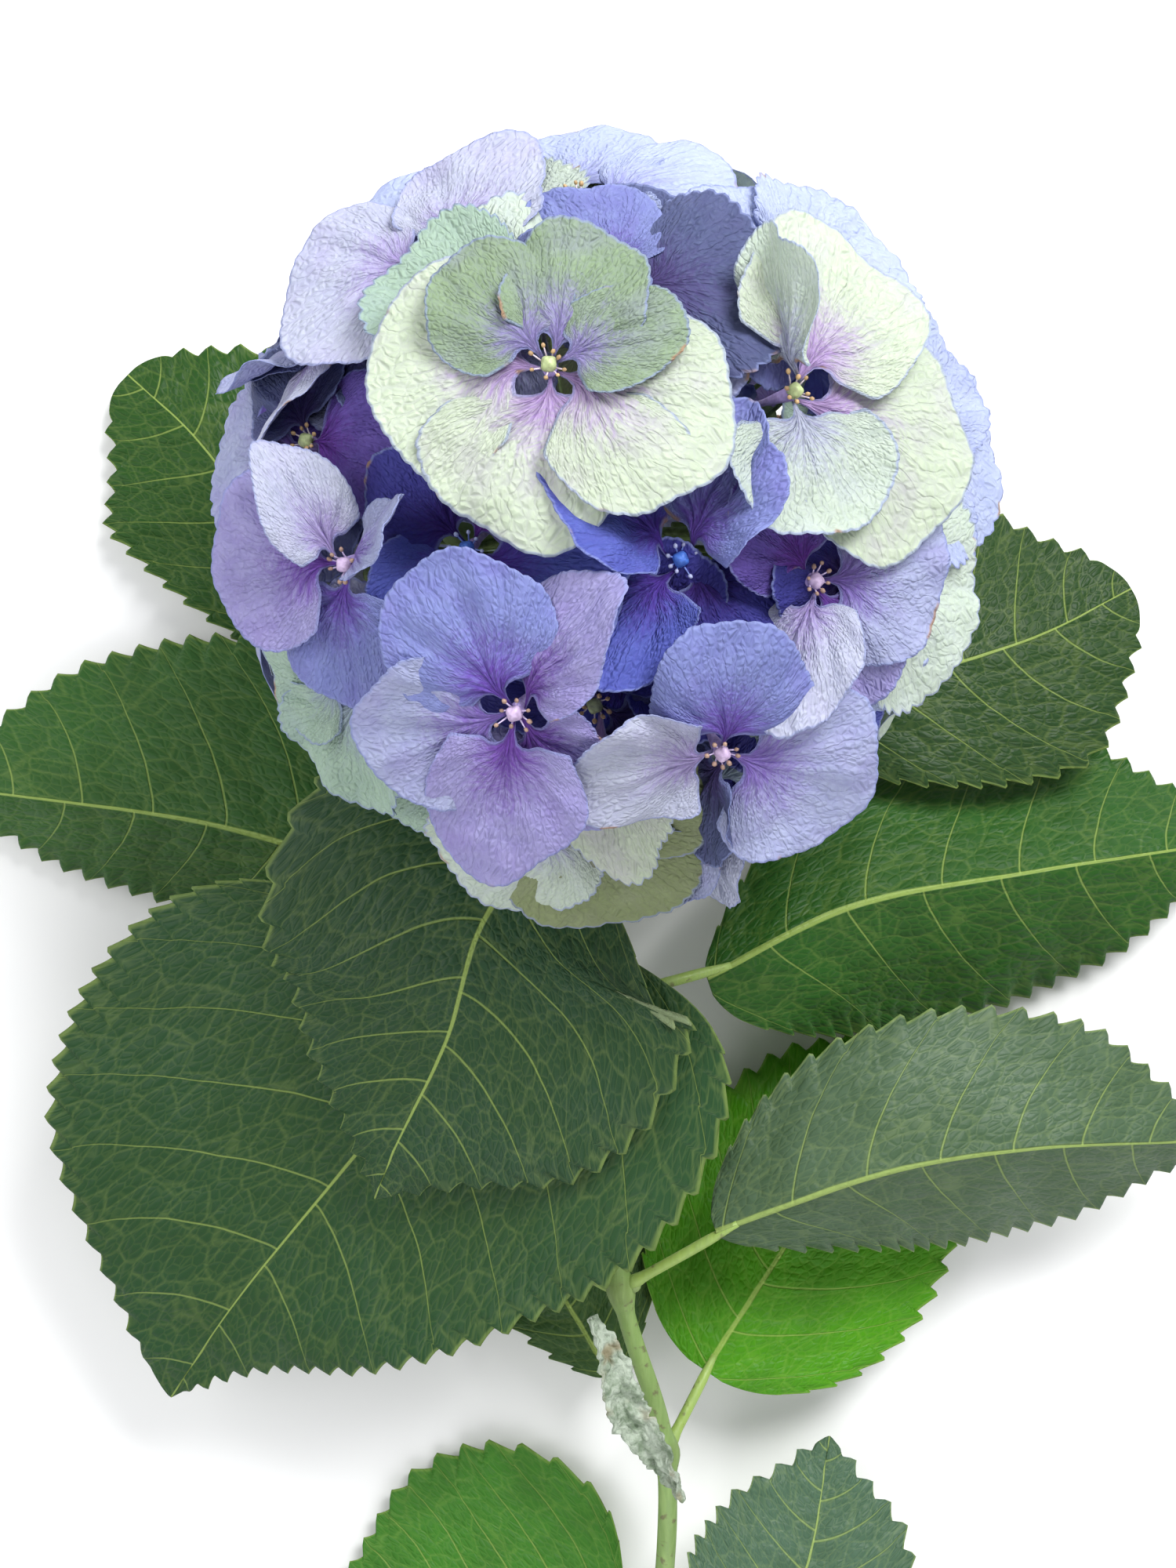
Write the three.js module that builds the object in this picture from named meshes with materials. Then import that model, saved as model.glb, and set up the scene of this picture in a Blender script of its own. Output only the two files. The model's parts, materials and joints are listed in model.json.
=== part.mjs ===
// A cut mophead hydrangea, lying down on a flat surface.
//
// One bent stem carries twelve leaves, ten of them in opposite pairs, and ends in a knob inside the
// flower head. Primary branches stand round that knob, each ends in a knob of its own, and each of
// those carries a fan of thin stalks. Every stalk bears one floret: four or five broad sepals round a small bud.
//
// Millimetres, +Z up. +Y runs along the stem towards the far side of the head and +X to the right.
// The model is laid out round the point under the head's centre, and moved at the end so that the
// origin is the middle of its footprint.

import * as THREE from "three";

// Driving dimensions.
const HEAD_HEIGHT = 74; // the head's centre above the surface
const STEM_RADIUS = 1.9;
const STEM_SIDES = 8;
const STEM_STEP = 26; // between the stem's plain rings
const JOINT_RADIUS = 3.1; // the swelling where leaves grow
const JOINT_LENGTH = 6; // from a swelling's middle to its end
const JOINT_GAP = 1.4; // between a swelling and the leaf stalk that meets it
const PETIOLE_RADIUS = 1.2;
const LEAF_THICKNESS = 1.1; // at the midrib; the margin is a sharp edge
const LEAF_ROWS = 11;
const BLADE_POINT = 1.3; // above 0: the larger, the more pointed the blade's two ends
const HEAD_ROOM = 75.5; // leaves that pass under the head stay this far from its centre
const TABLE_CLEARANCE = 0.6; // lowest place of a leaf's middle surface
const BRANCH_REACH = 30; // from the head's centre to the middle of a branch's knob
const BRANCH_RADIUS = 1.6;
const KNOB_RADIUS = 4;
const KNOB_GAP = 0.4; // between a knob and whatever stands on it
const STALK_RADIUS = 0.8; // under the sepals
const STALK_FOOT = 0.45; // its radius at the knob
const SEPAL_THICKNESS = 1;
const BUD_RADIUS = 1.7;
const BUD_HEIGHT = 1.8;
const LEVEL_STEP = 3.4; // florets whose reach differs by less share one level
const BUD_ROOM = 5.2; // a sepal this close above a bud keeps off it
const STALK_ROOM = 3; // sepals stay this far from the middle of a stalk that passes them

// The stem's middle line, from the knob inside the head to the cut end.
const STEM_ROUTE = [
  [0, 0, 74],
  [0, -46, 65],
  [-2, -76, 58],
  [0, -104, 50],
  [4, -162, 36],
  [14, -200, 28],
  [12, -262, 15],
  [10, -352, 2.8],
];

// Leaves: joint is the Y of the stem joint and route the midrib, from the foot of the blade to its
// tip. left and right are the blade's halves for someone looking along the midrib to the tip: width
// is the half's full width, widest where along the blade that is (0 at the foot, 1 at the tip), fold
// how steeply the half rises (or falls, below 0) from the midrib, and droop how far its margin hangs
// below that slope, as a share of its width.
const LEAVES = [
  {
    name: "leaf_upper_front", joint: -66,
    route: [[-12, -61, 73], [-25, -80, 78], [-32, -103, 76], [-43, -126, 68], [-48, -138, 61]],
    left: { width: 49, widest: 0.42, fold: -0.02, droop: 0.16 },
    right: { width: 46, widest: 0.32, fold: -0.02, droop: 0.16 },
  },
  {
    name: "leaf_upper_left", joint: -52,
    route: [[-46, -34, 14], [-68, -7, 11], [-93, 28, 8], [-110, 44, 4]],
    left: { width: 29, widest: 0.75, fold: 0.05, droop: 0.1 },
    right: { width: 32, widest: 0.7, fold: -0.1, droop: 0.1 },
  },
  {
    name: "leaf_upper_right", joint: -52,
    route: [[29, -45, 22], [44, -36, 24], [70, -27, 24], [100, -17, 16], [122, -6, 8]],
    left: { width: 37, widest: 0.65, fold: -0.15, droop: 0.1 },
    right: { width: 31, widest: 0.7, fold: 0.1, droop: 0.1 },
  },
  {
    name: "leaf_middle_front", joint: -82,
    route: [[-16, -76, 66], [-27, -98, 65], [-56, -134, 53], [-80, -164, 39], [-97, -189, 22]],
    left: { width: 60, widest: 0.24, fold: 0, droop: 0.05 },
    right: { width: 69, widest: 0.5, fold: -0.05, droop: 0.12 },
  },
  {
    name: "leaf_middle_left", joint: -97,
    route: [[-36, -78, 38], [-61, -67, 38], [-86, -60, 32], [-130, -54, 18], [-160, -51, 5]],
    left: { width: 28, widest: 0.4, fold: -0.9, droop: 0.1 },
    right: { width: 45, widest: 0.4, fold: -0.35, droop: 0.1 },
  },
  {
    name: "leaf_middle_right", joint: -97,
    route: [[22, -93, 46], [54, -78, 38], [94, -71, 26], [131, -66, 14], [152, -63, 4]],
    left: { width: 37, widest: 0.6, fold: -0.7, droop: 0.1 },
    right: { width: 35, widest: 0.4, fold: -0.5, droop: 0.1 },
  },
  {
    name: "leaf_lower_right", joint: -162,
    route: [[24, -148, 44], [62, -134, 49], [92, -130, 44], [122, -130, 34], [140, -131, 24]],
    left: { width: 31, widest: 0.45, fold: -0.2, droop: 0.1 },
    right: { width: 30, widest: 0.5, fold: -0.9, droop: 0.1 },
  },
  {
    name: "leaf_lower_left", joint: -162,
    route: [[-18, -155, 27], [-50, -149, 18], [-88, -147, 9], [-121, -151, 4]],
    left: { width: 18, widest: 0.5, fold: 0, droop: 0.1 },
    right: { width: 26, widest: 0.45, fold: 0, droop: 0.1 },
  },
  {
    name: "leaf_base_right", joint: -200,
    route: [[23, -184, 19], [38, -162, 15], [57, -134, 11], [77, -106, 5]],
    left: { width: 33, widest: 0.4, fold: -0.1, droop: 0.1 },
    right: { width: 35, widest: 0.4, fold: 0, droop: 0.1 },
  },
  {
    name: "leaf_base_left", joint: -200,
    route: [[2, -186, 15], [-8, -170, 11], [-22, -149, 7], [-36, -126, 3]],
    left: { width: 15, widest: 0.5, fold: 0, droop: 0.1 },
    right: { width: 25, widest: 0.45, fold: 0, droop: 0.1 },
  },
  {
    name: "leaf_foot_right", joint: -262,
    route: [[25, -258, 20], [36, -246, 24], [46, -227, 22], [52, -200, 13]],
    left: { width: 25, widest: 0.45, fold: 0.1, droop: 0.1 },
    right: { width: 25, widest: 0.45, fold: 0.1, droop: 0.1 },
  },
  {
    name: "leaf_foot_left", joint: -262,
    route: [[1, -256, 12], [-16, -250, 11], [-38, -247, 8], [-66, -245, 3]],
    left: { width: 42, widest: 0.42, fold: 0, droop: 0.12 },
    right: { width: 44, widest: 0.42, fold: 0, droop: 0.12 },
  },
];

// A shrivelled small leaf that hangs beside the stem: a narrow strip that twists as it goes.
const WITHERED_LEAF = {
  halfWidth: 4, halfThickness: 0.6, twist: 2.4, rows: 11,
  route: [[-3, -166, 48], [1, -175, 47], [5, -186, 44], [12, -196, 42], [18, -207, 38]],
};

// Branches: where each points from the head's centre, as bearing and lean in degrees. Bearing turns
// clockwise from the far side of the head as seen from above, and lean is measured from straight up.
const BRANCHES = [
  { name: "branch_front", bearing: 330, lean: 24 },
  { name: "branch_near", bearing: 155, lean: 30 },
  { name: "branch_left", bearing: 268, lean: 80 },
  { name: "branch_right", bearing: 88, lean: 80 },
  { name: "branch_far", bearing: 2, lean: 88 },
  { name: "branch_under", bearing: 0, lean: 152 },
];

// Florets: bearing, lean, reach from the head's centre to the sepals, size of the sepals from the
// middle to their edge, how many sepals, and the spin of the first one.
const FLORETS = [
  [336, 18, 79, 34, 5, 0],
  [60, 31, 75, 33, 4, 20],
  [257, 40, 75, 30, 4, 10],
  [203, 31, 80, 32, 5, 30],
  [155, 40, 77, 32, 4, 0],
  [252, 24, 64, 26, 4, 40],
  [128, 15, 65, 28, 4, 15],
  [110, 35, 70, 28, 4, 45],
  [169, 27, 60, 24, 4, 0],
  [142, 51, 62, 24, 4, 20],
  [328, 58, 80, 33, 4, 30],
  [5, 46, 71, 30, 4, 0],
  [24, 64, 79, 31, 4, 25],
  [357, 69, 75.4, 31, 4, 45],
  [343, 50, 73, 28, 4, 10],
  [306, 76, 75, 28, 4, 0],
  [292, 42, 66, 28, 4, 35],
  [286, 66, 79, 31, 4, 20],
  [238, 66, 71, 32, 4, 0],
  [212, 65, 66, 26, 4, 40],
  [184, 65, 76.5, 30, 4, 10],
  [168, 58, 66, 27, 4, 30],
  [160, 76, 80, 26, 4, 0],
  [108, 64, 76, 31, 4, 35],
  [80, 70, 80, 31, 4, 15],
  [46, 79, 72, 28, 4, 0],
  [125, 50, 67, 26, 4, 25],
  [333, 32, 70, 28, 4, 45],
  [20, 100, 72, 30, 4, 10],
  [62, 104, 74, 30, 4, 0],
  [99, 98, 71, 30, 4, 30],
  [261, 98, 71, 30, 4, 15],
  [298, 102, 74, 30, 4, 0],
  [338, 99, 72, 30, 4, 40],
  [0, 132, 69, 30, 4, 20],
  [54, 134, 67, 30, 4, 0],
  [110, 128, 68, 28, 4, 10],
  [250, 128, 68, 28, 4, 35],
  [306, 134, 67, 30, 4, 0],
  [0, 166, 73.4, 30, 4, 45],
].map(([bearing, lean, reach, size, sepals, spin], i) => ({
  name: "floret_" + String(i + 1).padStart(2, "0"), bearing, lean, reach, size, sepals, spin,
}));

const LEAF_GREEN = { color: 0x2f5a2c, roughness: 0.5, metalness: 0 };
const STEM_GREEN = { color: 0x5d7f3c, roughness: 0.6, metalness: 0 };
const WITHERED_GREY = { color: 0x8f9c86, roughness: 0.85, metalness: 0 };
const SEPAL_BLUE = { color: 0x9a93d6, roughness: 0.7, metalness: 0 };

const UP = new THREE.Vector3(0, 0, 1);
const FAR = new THREE.Vector3(0, 1, 0);
const HEAD = new THREE.Vector3(0, 0, HEAD_HEIGHT);
const STEEP = 0.9; // a way whose Z is beyond this takes FAR, and not UP, to find its right

const point = ([x, y, z]) => new THREE.Vector3(x, y, z);
const radians = THREE.MathUtils.degToRad;
const along = (start, way, length) => start.clone().addScaledVector(way, length);

// The unit vector at a bearing and a lean, in degrees.
function direction({ bearing, lean }) {
  const [b, l] = [radians(bearing), radians(lean)];
  return new THREE.Vector3(Math.sin(l) * Math.sin(b), Math.sin(l) * Math.cos(b), Math.cos(l));
}

// Two directions square to a way and to each other. Seen against the way, the second is a quarter
// turn anticlockwise from the first.
function squareTo(way) {
  const across = way.clone().cross(Math.abs(way.z) > STEEP ? FAR : UP).normalize();
  return [across, way.clone().cross(across)];
}

// The point at an angle and a distance from a centre, in the plane square to a way.
function around(centre, way, angle, distance) {
  const [across, upward] = squareTo(way);
  return along(along(centre, across, distance * Math.cos(angle)), upward, distance * Math.sin(angle));
}

const angles = (count) => Array.from({ length: count }, (_, k) => (2 * Math.PI * k) / count);
const ring = (centre, way, radius, sides) =>
  angles(sides).map((angle) => around(centre, way, angle, radius));

// A closed skin over a row of rings, drawn to a point at each end. Seen from the last point, every
// ring turns anticlockwise.
function skin(first, rings, last) {
  const sides = rings[0].length;
  const at = (i, k) => 1 + i * sides + (k % sides);
  const end = 1 + rings.length * sides;
  const corners = [];
  for (let k = 0; k < sides; k++) {
    corners.push(0, at(0, k + 1), at(0, k));
    for (let i = 0; i + 1 < rings.length; i++) {
      corners.push(at(i, k), at(i, k + 1), at(i + 1, k + 1));
      corners.push(at(i, k), at(i + 1, k + 1), at(i + 1, k));
    }
    corners.push(end, at(rings.length - 1, k), at(rings.length - 1, k + 1));
  }
  const made = new THREE.BufferGeometry().setFromPoints([first, ...rings.flat(), last]);
  made.setIndex(corners);
  made.computeVertexNormals();
  return made;
}

function meshOf(name, geometry, look) {
  const mesh = new THREE.Mesh(geometry, new THREE.MeshStandardMaterial(look));
  mesh.name = name;
  return mesh;
}

const stemLine = new THREE.CatmullRomCurve3(STEM_ROUTE.map(point), false, "centripetal");

// How far along the stem's middle line, 0 to 1, a given Y lies. Y falls all the way.
function stemShare(y) {
  let [near, far] = [0, 1];
  for (let i = 0; i < 30; i++) {
    const middle = (near + far) / 2;
    if (stemLine.getPoint(middle).y > y) near = middle;
    else far = middle;
  }
  return near;
}

const stemAt = (y) => stemLine.getPoint(stemShare(y));

// The stem swells round every joint.
function stemRadius(y) {
  const nearest = Math.min(...LEAVES.map((leaf) => Math.abs(leaf.joint - y)));
  return STEM_RADIUS + (JOINT_RADIUS - STEM_RADIUS) * Math.max(0, 1 - nearest / JOINT_LENGTH);
}

// Rings stand at both ends and the middle of every swelling and in steps between them, and three
// more make the knob inside the head.
function stem() {
  const top = stemLine.getPoint(0);
  const cut = stemLine.getPoint(1);
  const knob = [1, 0, -1].map((step) => {
    const radius = KNOB_RADIUS * (step ? 0.8 : 1);
    return ring(along(top, FAR, step * 0.6 * KNOB_RADIUS), FAR.clone().negate(), radius, STEM_SIDES);
  });
  const places = LEAVES.flatMap(({ joint }) => [joint - JOINT_LENGTH, joint, joint + JOINT_LENGTH]);
  for (let y = top.y - 1.5 * KNOB_RADIUS; y > cut.y + 1; y -= STEM_STEP) places.push(y);
  places.push(cut.y + 1);
  const rings = [...new Set(places)].sort((a, b) => b - a).map((y) =>
    ring(stemAt(y), stemLine.getTangent(stemShare(y)), stemRadius(y), STEM_SIDES));
  return meshOf("stem", skin(along(top, FAR, KNOB_RADIUS), [...knob, ...rings], cut), STEM_GREEN);
}

// How wide one half of a blade is at t, from its foot (0) to its tip (1).
function halfWidth({ width, widest }, t) {
  const [foot, tip] = [BLADE_POINT * widest, BLADE_POINT * (1 - widest)];
  return (width * (t ** foot * (1 - t) ** tip)) / (widest ** foot * (1 - widest) ** tip);
}

// The highest a leaf's middle surface may lie, so that it passes under the head.
function headroom({ x, y }) {
  const past = HEAD_ROOM ** 2 - x ** 2 - y ** 2;
  return past > 0 ? HEAD_HEIGHT - Math.sqrt(past) : Infinity;
}

// One ring of the blade at t: from the right margin (s = 1) underneath to the left one (s = -1) and
// back over the top.
function bladeRing(spec, line, t) {
  const ahead = line.getTangentAt(t);
  const across = ahead.clone().cross(UP).normalize();
  const upward = across.clone().cross(ahead);
  const face = [[1, 1], [0.5, -1], [0, -1], [-0.5, -1], [-1, 1], [-0.5, 1], [0, 1], [0.5, 1]];
  return face.map(([s, side]) => {
    const half = s < 0 ? spec.left : spec.right;
    const out = (Math.abs(s) * halfWidth(half, t)) / Math.hypot(1, half.fold);
    const lift = half.fold * out - (half.droop * out * out) / half.width;
    const at = along(along(line.getPointAt(t), across, Math.sign(s) * out), upward, lift);
    if (at.z < HEAD_HEIGHT / 2) at.z = Math.min(at.z, headroom(at));
    at.z = Math.max(at.z, TABLE_CLEARANCE);
    return along(at, upward, side * (LEAF_THICKNESS / 2) * (1 - s * s));
  });
}

// A leaf's stalk and blade are one skin: round at the stem's joint, flat from the blade's foot on.
function leaf(spec) {
  const line = new THREE.CatmullRomCurve3(spec.route.map(point));
  const joint = stemAt(spec.joint);
  const foot = line.getPoint(0);
  const away = foot.clone().sub(joint).normalize();
  const start = along(joint, away, JOINT_RADIUS + JOINT_GAP);
  const stalk = [0, 0.55, 1].map((share) =>
    ring(start.clone().lerp(foot, share), away, PETIOLE_RADIUS, 8));
  const rows = Array.from({ length: LEAF_ROWS }, (_, i) => (i + 0.6) / (LEAF_ROWS + 0.2));
  const blade = rows.map((t) => bladeRing(spec, line, t));
  return meshOf(spec.name, skin(start, [...stalk, ...blade], line.getPoint(1)), LEAF_GREEN);
}

function witheredLeaf() {
  const { halfWidth, halfThickness, twist, rows, route } = WITHERED_LEAF;
  const line = new THREE.CatmullRomCurve3(route.map(point));
  const rings = Array.from({ length: rows }, (_, i) => {
    const t = (i + 0.5) / rows;
    const ahead = line.getTangent(t);
    const across = ahead.clone().cross(UP).normalize().applyAxisAngle(ahead, twist * (t - 0.5));
    const upward = across.clone().cross(ahead);
    const taper = Math.sin(Math.PI * t) ** 0.5;
    return angles(8).map((angle) => {
      const side = along(line.getPoint(t), across, halfWidth * taper * Math.cos(angle));
      return along(side, upward, -halfThickness * taper * Math.sin(angle));
    });
  });
  return meshOf("withered_leaf", skin(line.getPoint(0), rings, line.getPoint(1)), WITHERED_GREY);
}

const knobOf = (branch) => along(HEAD, direction(branch), BRANCH_REACH);

function branch(spec) {
  const way = direction(spec);
  const knob = knobOf(spec);
  const start = along(HEAD, way, KNOB_RADIUS + KNOB_GAP + 0.4);
  const rings = [
    ring(start, way, BRANCH_RADIUS, 8),
    ring(along(knob, way, -0.9 * KNOB_RADIUS), way, BRANCH_RADIUS, 8),
    ring(along(knob, way, -0.45 * KNOB_RADIUS), way, 0.88 * KNOB_RADIUS, 8),
    ring(along(knob, way, 0.45 * KNOB_RADIUS), way, 0.88 * KNOB_RADIUS, 8),
  ];
  return meshOf(spec.name, skin(start, rings, along(knob, way, KNOB_RADIUS)), STEM_GREEN);
}

// A floret hangs on the branch that points closest to it.
function knobFor(floret) {
  const nearness = (branch) => direction(branch).dot(direction(floret));
  return knobOf(BRANCHES.reduce((a, b) => (nearness(a) >= nearness(b) ? a : b)));
}

// The stalk's two ends: just off the knob, and the middle of the floret.
function stalkOf(floret) {
  const knob = knobFor(floret);
  const end = along(HEAD, direction(floret), floret.reach);
  const way = end.clone().sub(knob).normalize();
  return [along(knob, way, KNOB_RADIUS + KNOB_GAP), end];
}

// The way in which another floret's stalk passes through a sphere of this reach, or null.
function crossing(other, reach) {
  const [start, end] = stalkOf(other);
  if (other.reach < reach || start.distanceTo(HEAD) > reach) return null;
  let [near, far] = [0, 1];
  for (let i = 0; i < 24; i++) {
    const middle = (near + far) / 2;
    if (start.clone().lerp(end, middle).distanceTo(HEAD) < reach) near = middle;
    else far = middle;
  }
  return start.clone().lerp(end, near).sub(HEAD).normalize();
}

// The straight edges that keep a floret clear of its neighbours: each is a heading in the floret's
// own plane and how far the sepals may go that way.
function edgesRound(floret) {
  const way = direction(floret);
  const [across, upward] = squareTo(way);
  const edge = (towards, room) => ({
    heading: Math.atan2(towards.dot(upward), towards.dot(across)),
    far: room(way.angleTo(towards) * floret.reach),
  });
  return FLORETS.filter((other) => other !== floret).flatMap((other) => {
    const found = [];
    const step = other.reach - floret.reach;
    if (Math.abs(step) < LEVEL_STEP) found.push(edge(direction(other), (d) => d / 2 - 0.7));
    else if (step < 0 && -step < BUD_ROOM) found.push(edge(direction(other), (d) => d - 3));
    const through = crossing(other, floret.reach);
    if (through) found.push(edge(through, (d) => d - STALK_ROOM));
    return found;
  });
}

// How far the sepals go at one angle round the floret: their lobes, cut back by the edges.
function sepalReach(floret, edges, angle) {
  const lobe = Math.abs(Math.cos((floret.sepals / 2) * (angle - radians(floret.spin))));
  const full = floret.size * (0.66 + 0.34 * Math.sqrt(lobe));
  return edges.reduce((least, { heading, far }) => {
    const towards = Math.cos(angle - heading);
    return towards > 0.05 ? Math.min(least, far / towards) : least;
  }, full);
}

// Stalk, sepals and bud are one skin. The sepals make a lobed plate that is bent round the head's
// centre: share is the part of the way from the middle to the edge, lift the height on the plate.
function floret(spec) {
  const way = direction(spec);
  const edges = edgesRound(spec);
  const [start, end] = stalkOf(spec);
  const sides = angles(4 * spec.sepals);
  const plate = (share, lift) => sides.map((angle) => {
    const bend = (share * sepalReach(spec, edges, angle)) / spec.reach;
    const spoke = around(HEAD, way, angle, 1).sub(HEAD).multiplyScalar(Math.sin(bend));
    return along(HEAD, spoke.addScaledVector(way, Math.cos(bend)), spec.reach + lift);
  });
  const rings = [
    ring(start, way, STALK_FOOT, sides.length),
    ring(along(end, way, -SEPAL_THICKNESS / 2), way, STALK_RADIUS, sides.length),
    plate(1, 0),
    plate(0.55, SEPAL_THICKNESS / 2),
    ring(along(end, way, SEPAL_THICKNESS / 2), way, BUD_RADIUS, sides.length),
  ];
  return meshOf(spec.name, skin(start, rings, along(end, way, BUD_HEIGHT)), SEPAL_BLUE);
}

const hydrangea = new THREE.Group();
hydrangea.add(stem(), ...LEAVES.map(leaf), witheredLeaf());
hydrangea.add(...BRANCHES.map(branch), ...FLORETS.map(floret));

const footprint = new THREE.Box3().setFromObject(hydrangea, true);
const middle = footprint.getCenter(new THREE.Vector3());
hydrangea.position.set(-middle.x, -middle.y, -footprint.min.z);

export default hydrangea;
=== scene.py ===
# %% [markdown]
# # A cut hydrangea, lying down
# One flower head on its stem, with twelve leaves. The packed solids give every place and size. Here each
# one gets a fine skin: petals with claws and wrinkles, leaves with teeth and veins, and a round stem.

# %% Load the frame
import json
import math
import random

import bpy
import numpy as np
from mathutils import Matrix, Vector, noise

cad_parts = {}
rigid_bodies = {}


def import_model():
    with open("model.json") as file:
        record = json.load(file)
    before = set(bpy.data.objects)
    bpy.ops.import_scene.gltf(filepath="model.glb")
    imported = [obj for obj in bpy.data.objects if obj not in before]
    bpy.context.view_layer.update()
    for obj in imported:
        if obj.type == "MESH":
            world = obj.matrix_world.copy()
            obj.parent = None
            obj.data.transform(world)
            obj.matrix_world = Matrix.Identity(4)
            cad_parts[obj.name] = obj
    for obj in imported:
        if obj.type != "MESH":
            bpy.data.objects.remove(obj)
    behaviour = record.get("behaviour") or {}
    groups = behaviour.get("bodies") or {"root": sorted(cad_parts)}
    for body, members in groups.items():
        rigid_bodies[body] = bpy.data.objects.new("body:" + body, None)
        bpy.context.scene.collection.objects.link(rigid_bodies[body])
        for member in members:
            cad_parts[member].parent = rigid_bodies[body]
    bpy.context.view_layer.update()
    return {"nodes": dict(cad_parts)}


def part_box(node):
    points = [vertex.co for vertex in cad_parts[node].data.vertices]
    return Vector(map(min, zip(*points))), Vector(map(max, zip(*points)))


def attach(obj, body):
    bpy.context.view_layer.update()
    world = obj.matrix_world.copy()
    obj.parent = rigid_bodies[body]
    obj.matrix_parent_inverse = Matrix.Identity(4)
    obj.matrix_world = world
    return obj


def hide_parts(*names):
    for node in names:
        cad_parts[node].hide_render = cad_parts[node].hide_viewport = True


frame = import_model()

print("nodes in the frame:", len(frame["nodes"]))

# %% [markdown]
# ## Where things are
# All florets grow from one point, the middle of the head. It is the end of the stem, and the left and the
# right branch stand off it equally. Routes below are in millimetres from the point on the surface that is
# straight under the head, with y along the stem and z up, so one helper turns them into the frame's metres.

# %% Find the middle of the head
MM = 0.001
KNOB = 4.0  # mm, radius of the stem's end inside the head
HEAD_HEIGHT = 74.0  # mm above the route's zero

stem_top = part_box("stem")[1]
head = Vector((
    (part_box("branch_left")[1][0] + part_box("branch_right")[0][0]) / 2,
    stem_top[1] - KNOB * MM,
    stem_top[2] - KNOB * MM,
))


def at(x, y, z):
    """A place given in millimetres, in the frame's metres."""
    return head + Vector((x, y, z - HEAD_HEIGHT)) * MM


def direction(bearing, lean):
    """The way that leans from straight up toward a compass bearing, both in degrees."""
    b, l = math.radians(bearing), math.radians(lean)
    return Vector((math.sin(l) * math.sin(b), math.sin(l) * math.cos(b), math.cos(l)))


print("middle of the head:", [round(c, 4) for c in head])

# %% [markdown]
# ## Camera, light and floor
# The flower is seen from straight above, a little toward the stem. Three big soft lamps round it and a
# pale sky leave only soft shadows, as a light tent would. The floor is staged: it isn't part of the flower.

# %% Camera
SENSOR = 36.0
LENS = 78.6
CAMERA_PLACE = (-3.2, -51, 600)  # mm, as the routes below
camera = bpy.data.objects.new("camera", bpy.data.cameras.new("camera"))
camera.data.lens = LENS
camera.data.sensor_width = SENSOR
camera.data.sensor_fit = "HORIZONTAL"
camera.location = at(*CAMERA_PLACE)
bpy.context.collection.objects.link(camera)
bpy.context.scene.camera = camera
print("camera height above the floor:", round(camera.location.z, 3))

# %% Lamps and sky


def lamp(name, place, aim, size, watts):
    """A square soft lamp that shines from one place toward another."""
    light = bpy.data.lights.new(name, "AREA")
    light.size = size
    light.energy = watts
    made = bpy.data.objects.new(name, light)
    made.location = place
    made.rotation_euler = (Vector(aim) - Vector(place)).to_track_quat("-Z", "Y").to_euler()
    bpy.context.collection.objects.link(made)


lamp("lamp_far_right", at(380, 520, 700), at(0, -40, 60), 0.45, 11.0)
lamp("lamp_left", at(-620, 60, 560), at(0, -60, 50), 0.7, 3.4)
lamp("lamp_near", at(120, -760, 520), at(0, -80, 40), 0.7, 2.8)

SKY_TINT = (0.96, 0.98, 1.0, 1)
SKY_STRENGTH = 0.48
sky = bpy.data.worlds.new("sky")
sky.use_nodes = True
sky_light = sky.node_tree.nodes["Background"]
sky_light.inputs["Color"].default_value = SKY_TINT
sky_light.inputs["Strength"].default_value = SKY_STRENGTH
bpy.context.scene.world = sky
bpy.context.scene.view_settings.view_transform = "Standard"
print("lamps:", len(bpy.data.lights), "sky strength:", SKY_STRENGTH)

# %% Floor
FLOOR_HALF = 3.0
FLOOR_LEVEL = -0.0005
FLOOR_TINT = (0.93, 0.93, 0.93, 1)
floor_mesh = bpy.data.meshes.new("floor")
floor_mesh.from_pydata(
    [(x * FLOOR_HALF, y * FLOOR_HALF, FLOOR_LEVEL) for x, y in ((-1, -1), (1, -1), (1, 1), (-1, 1))],
    [], [(0, 1, 2, 3)],
)
floor = bpy.data.objects.new("floor", floor_mesh)
bpy.context.collection.objects.link(floor)
floor_paint = bpy.data.materials.new("floor_paper")
floor_paint.use_nodes = True
floor_skin = floor_paint.node_tree.nodes["Principled BSDF"]
floor_skin.inputs["Base Color"].default_value = FLOOR_TINT
floor_skin.inputs["Roughness"].default_value = 0.9
floor_mesh.materials.append(floor_paint)
print("floor side, metres:", FLOOR_HALF * 2)

# %% [markdown]
# ## Skins
# Petals and leaves are thin closed skins. A grid of points gives the middle surface, and the two faces lie
# half a thickness to each side of it. Tubes do the same for stalks. Every point also carries facts that the
# finishes read: its place on its own petal or leaf, and two paints. Painting by place keeps veins in line
# with the shape, which a plain noise texture can't do.

# %% A skin that collects grids


def paint(code):
    """A colour given as on a paint chart, as linear red, green and blue."""
    parts = [int(code[i:i + 2], 16) / 255 for i in (1, 3, 5)]
    return np.array([p / 12.92 if p <= 0.04045 else ((p + 0.055) / 1.055) ** 2.4 for p in parts])


def smooth(low, high, x):
    """0 below low, 1 above high, and an even S between them."""
    t = np.clip((x - low) / (high - low), 0, 1)
    return t * t * (3 - 2 * t)


def unit(vectors):
    """Vectors along the last axis, each made one long."""
    return vectors / np.maximum(np.linalg.norm(vectors, axis=-1, keepdims=True), 1e-12)


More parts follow.
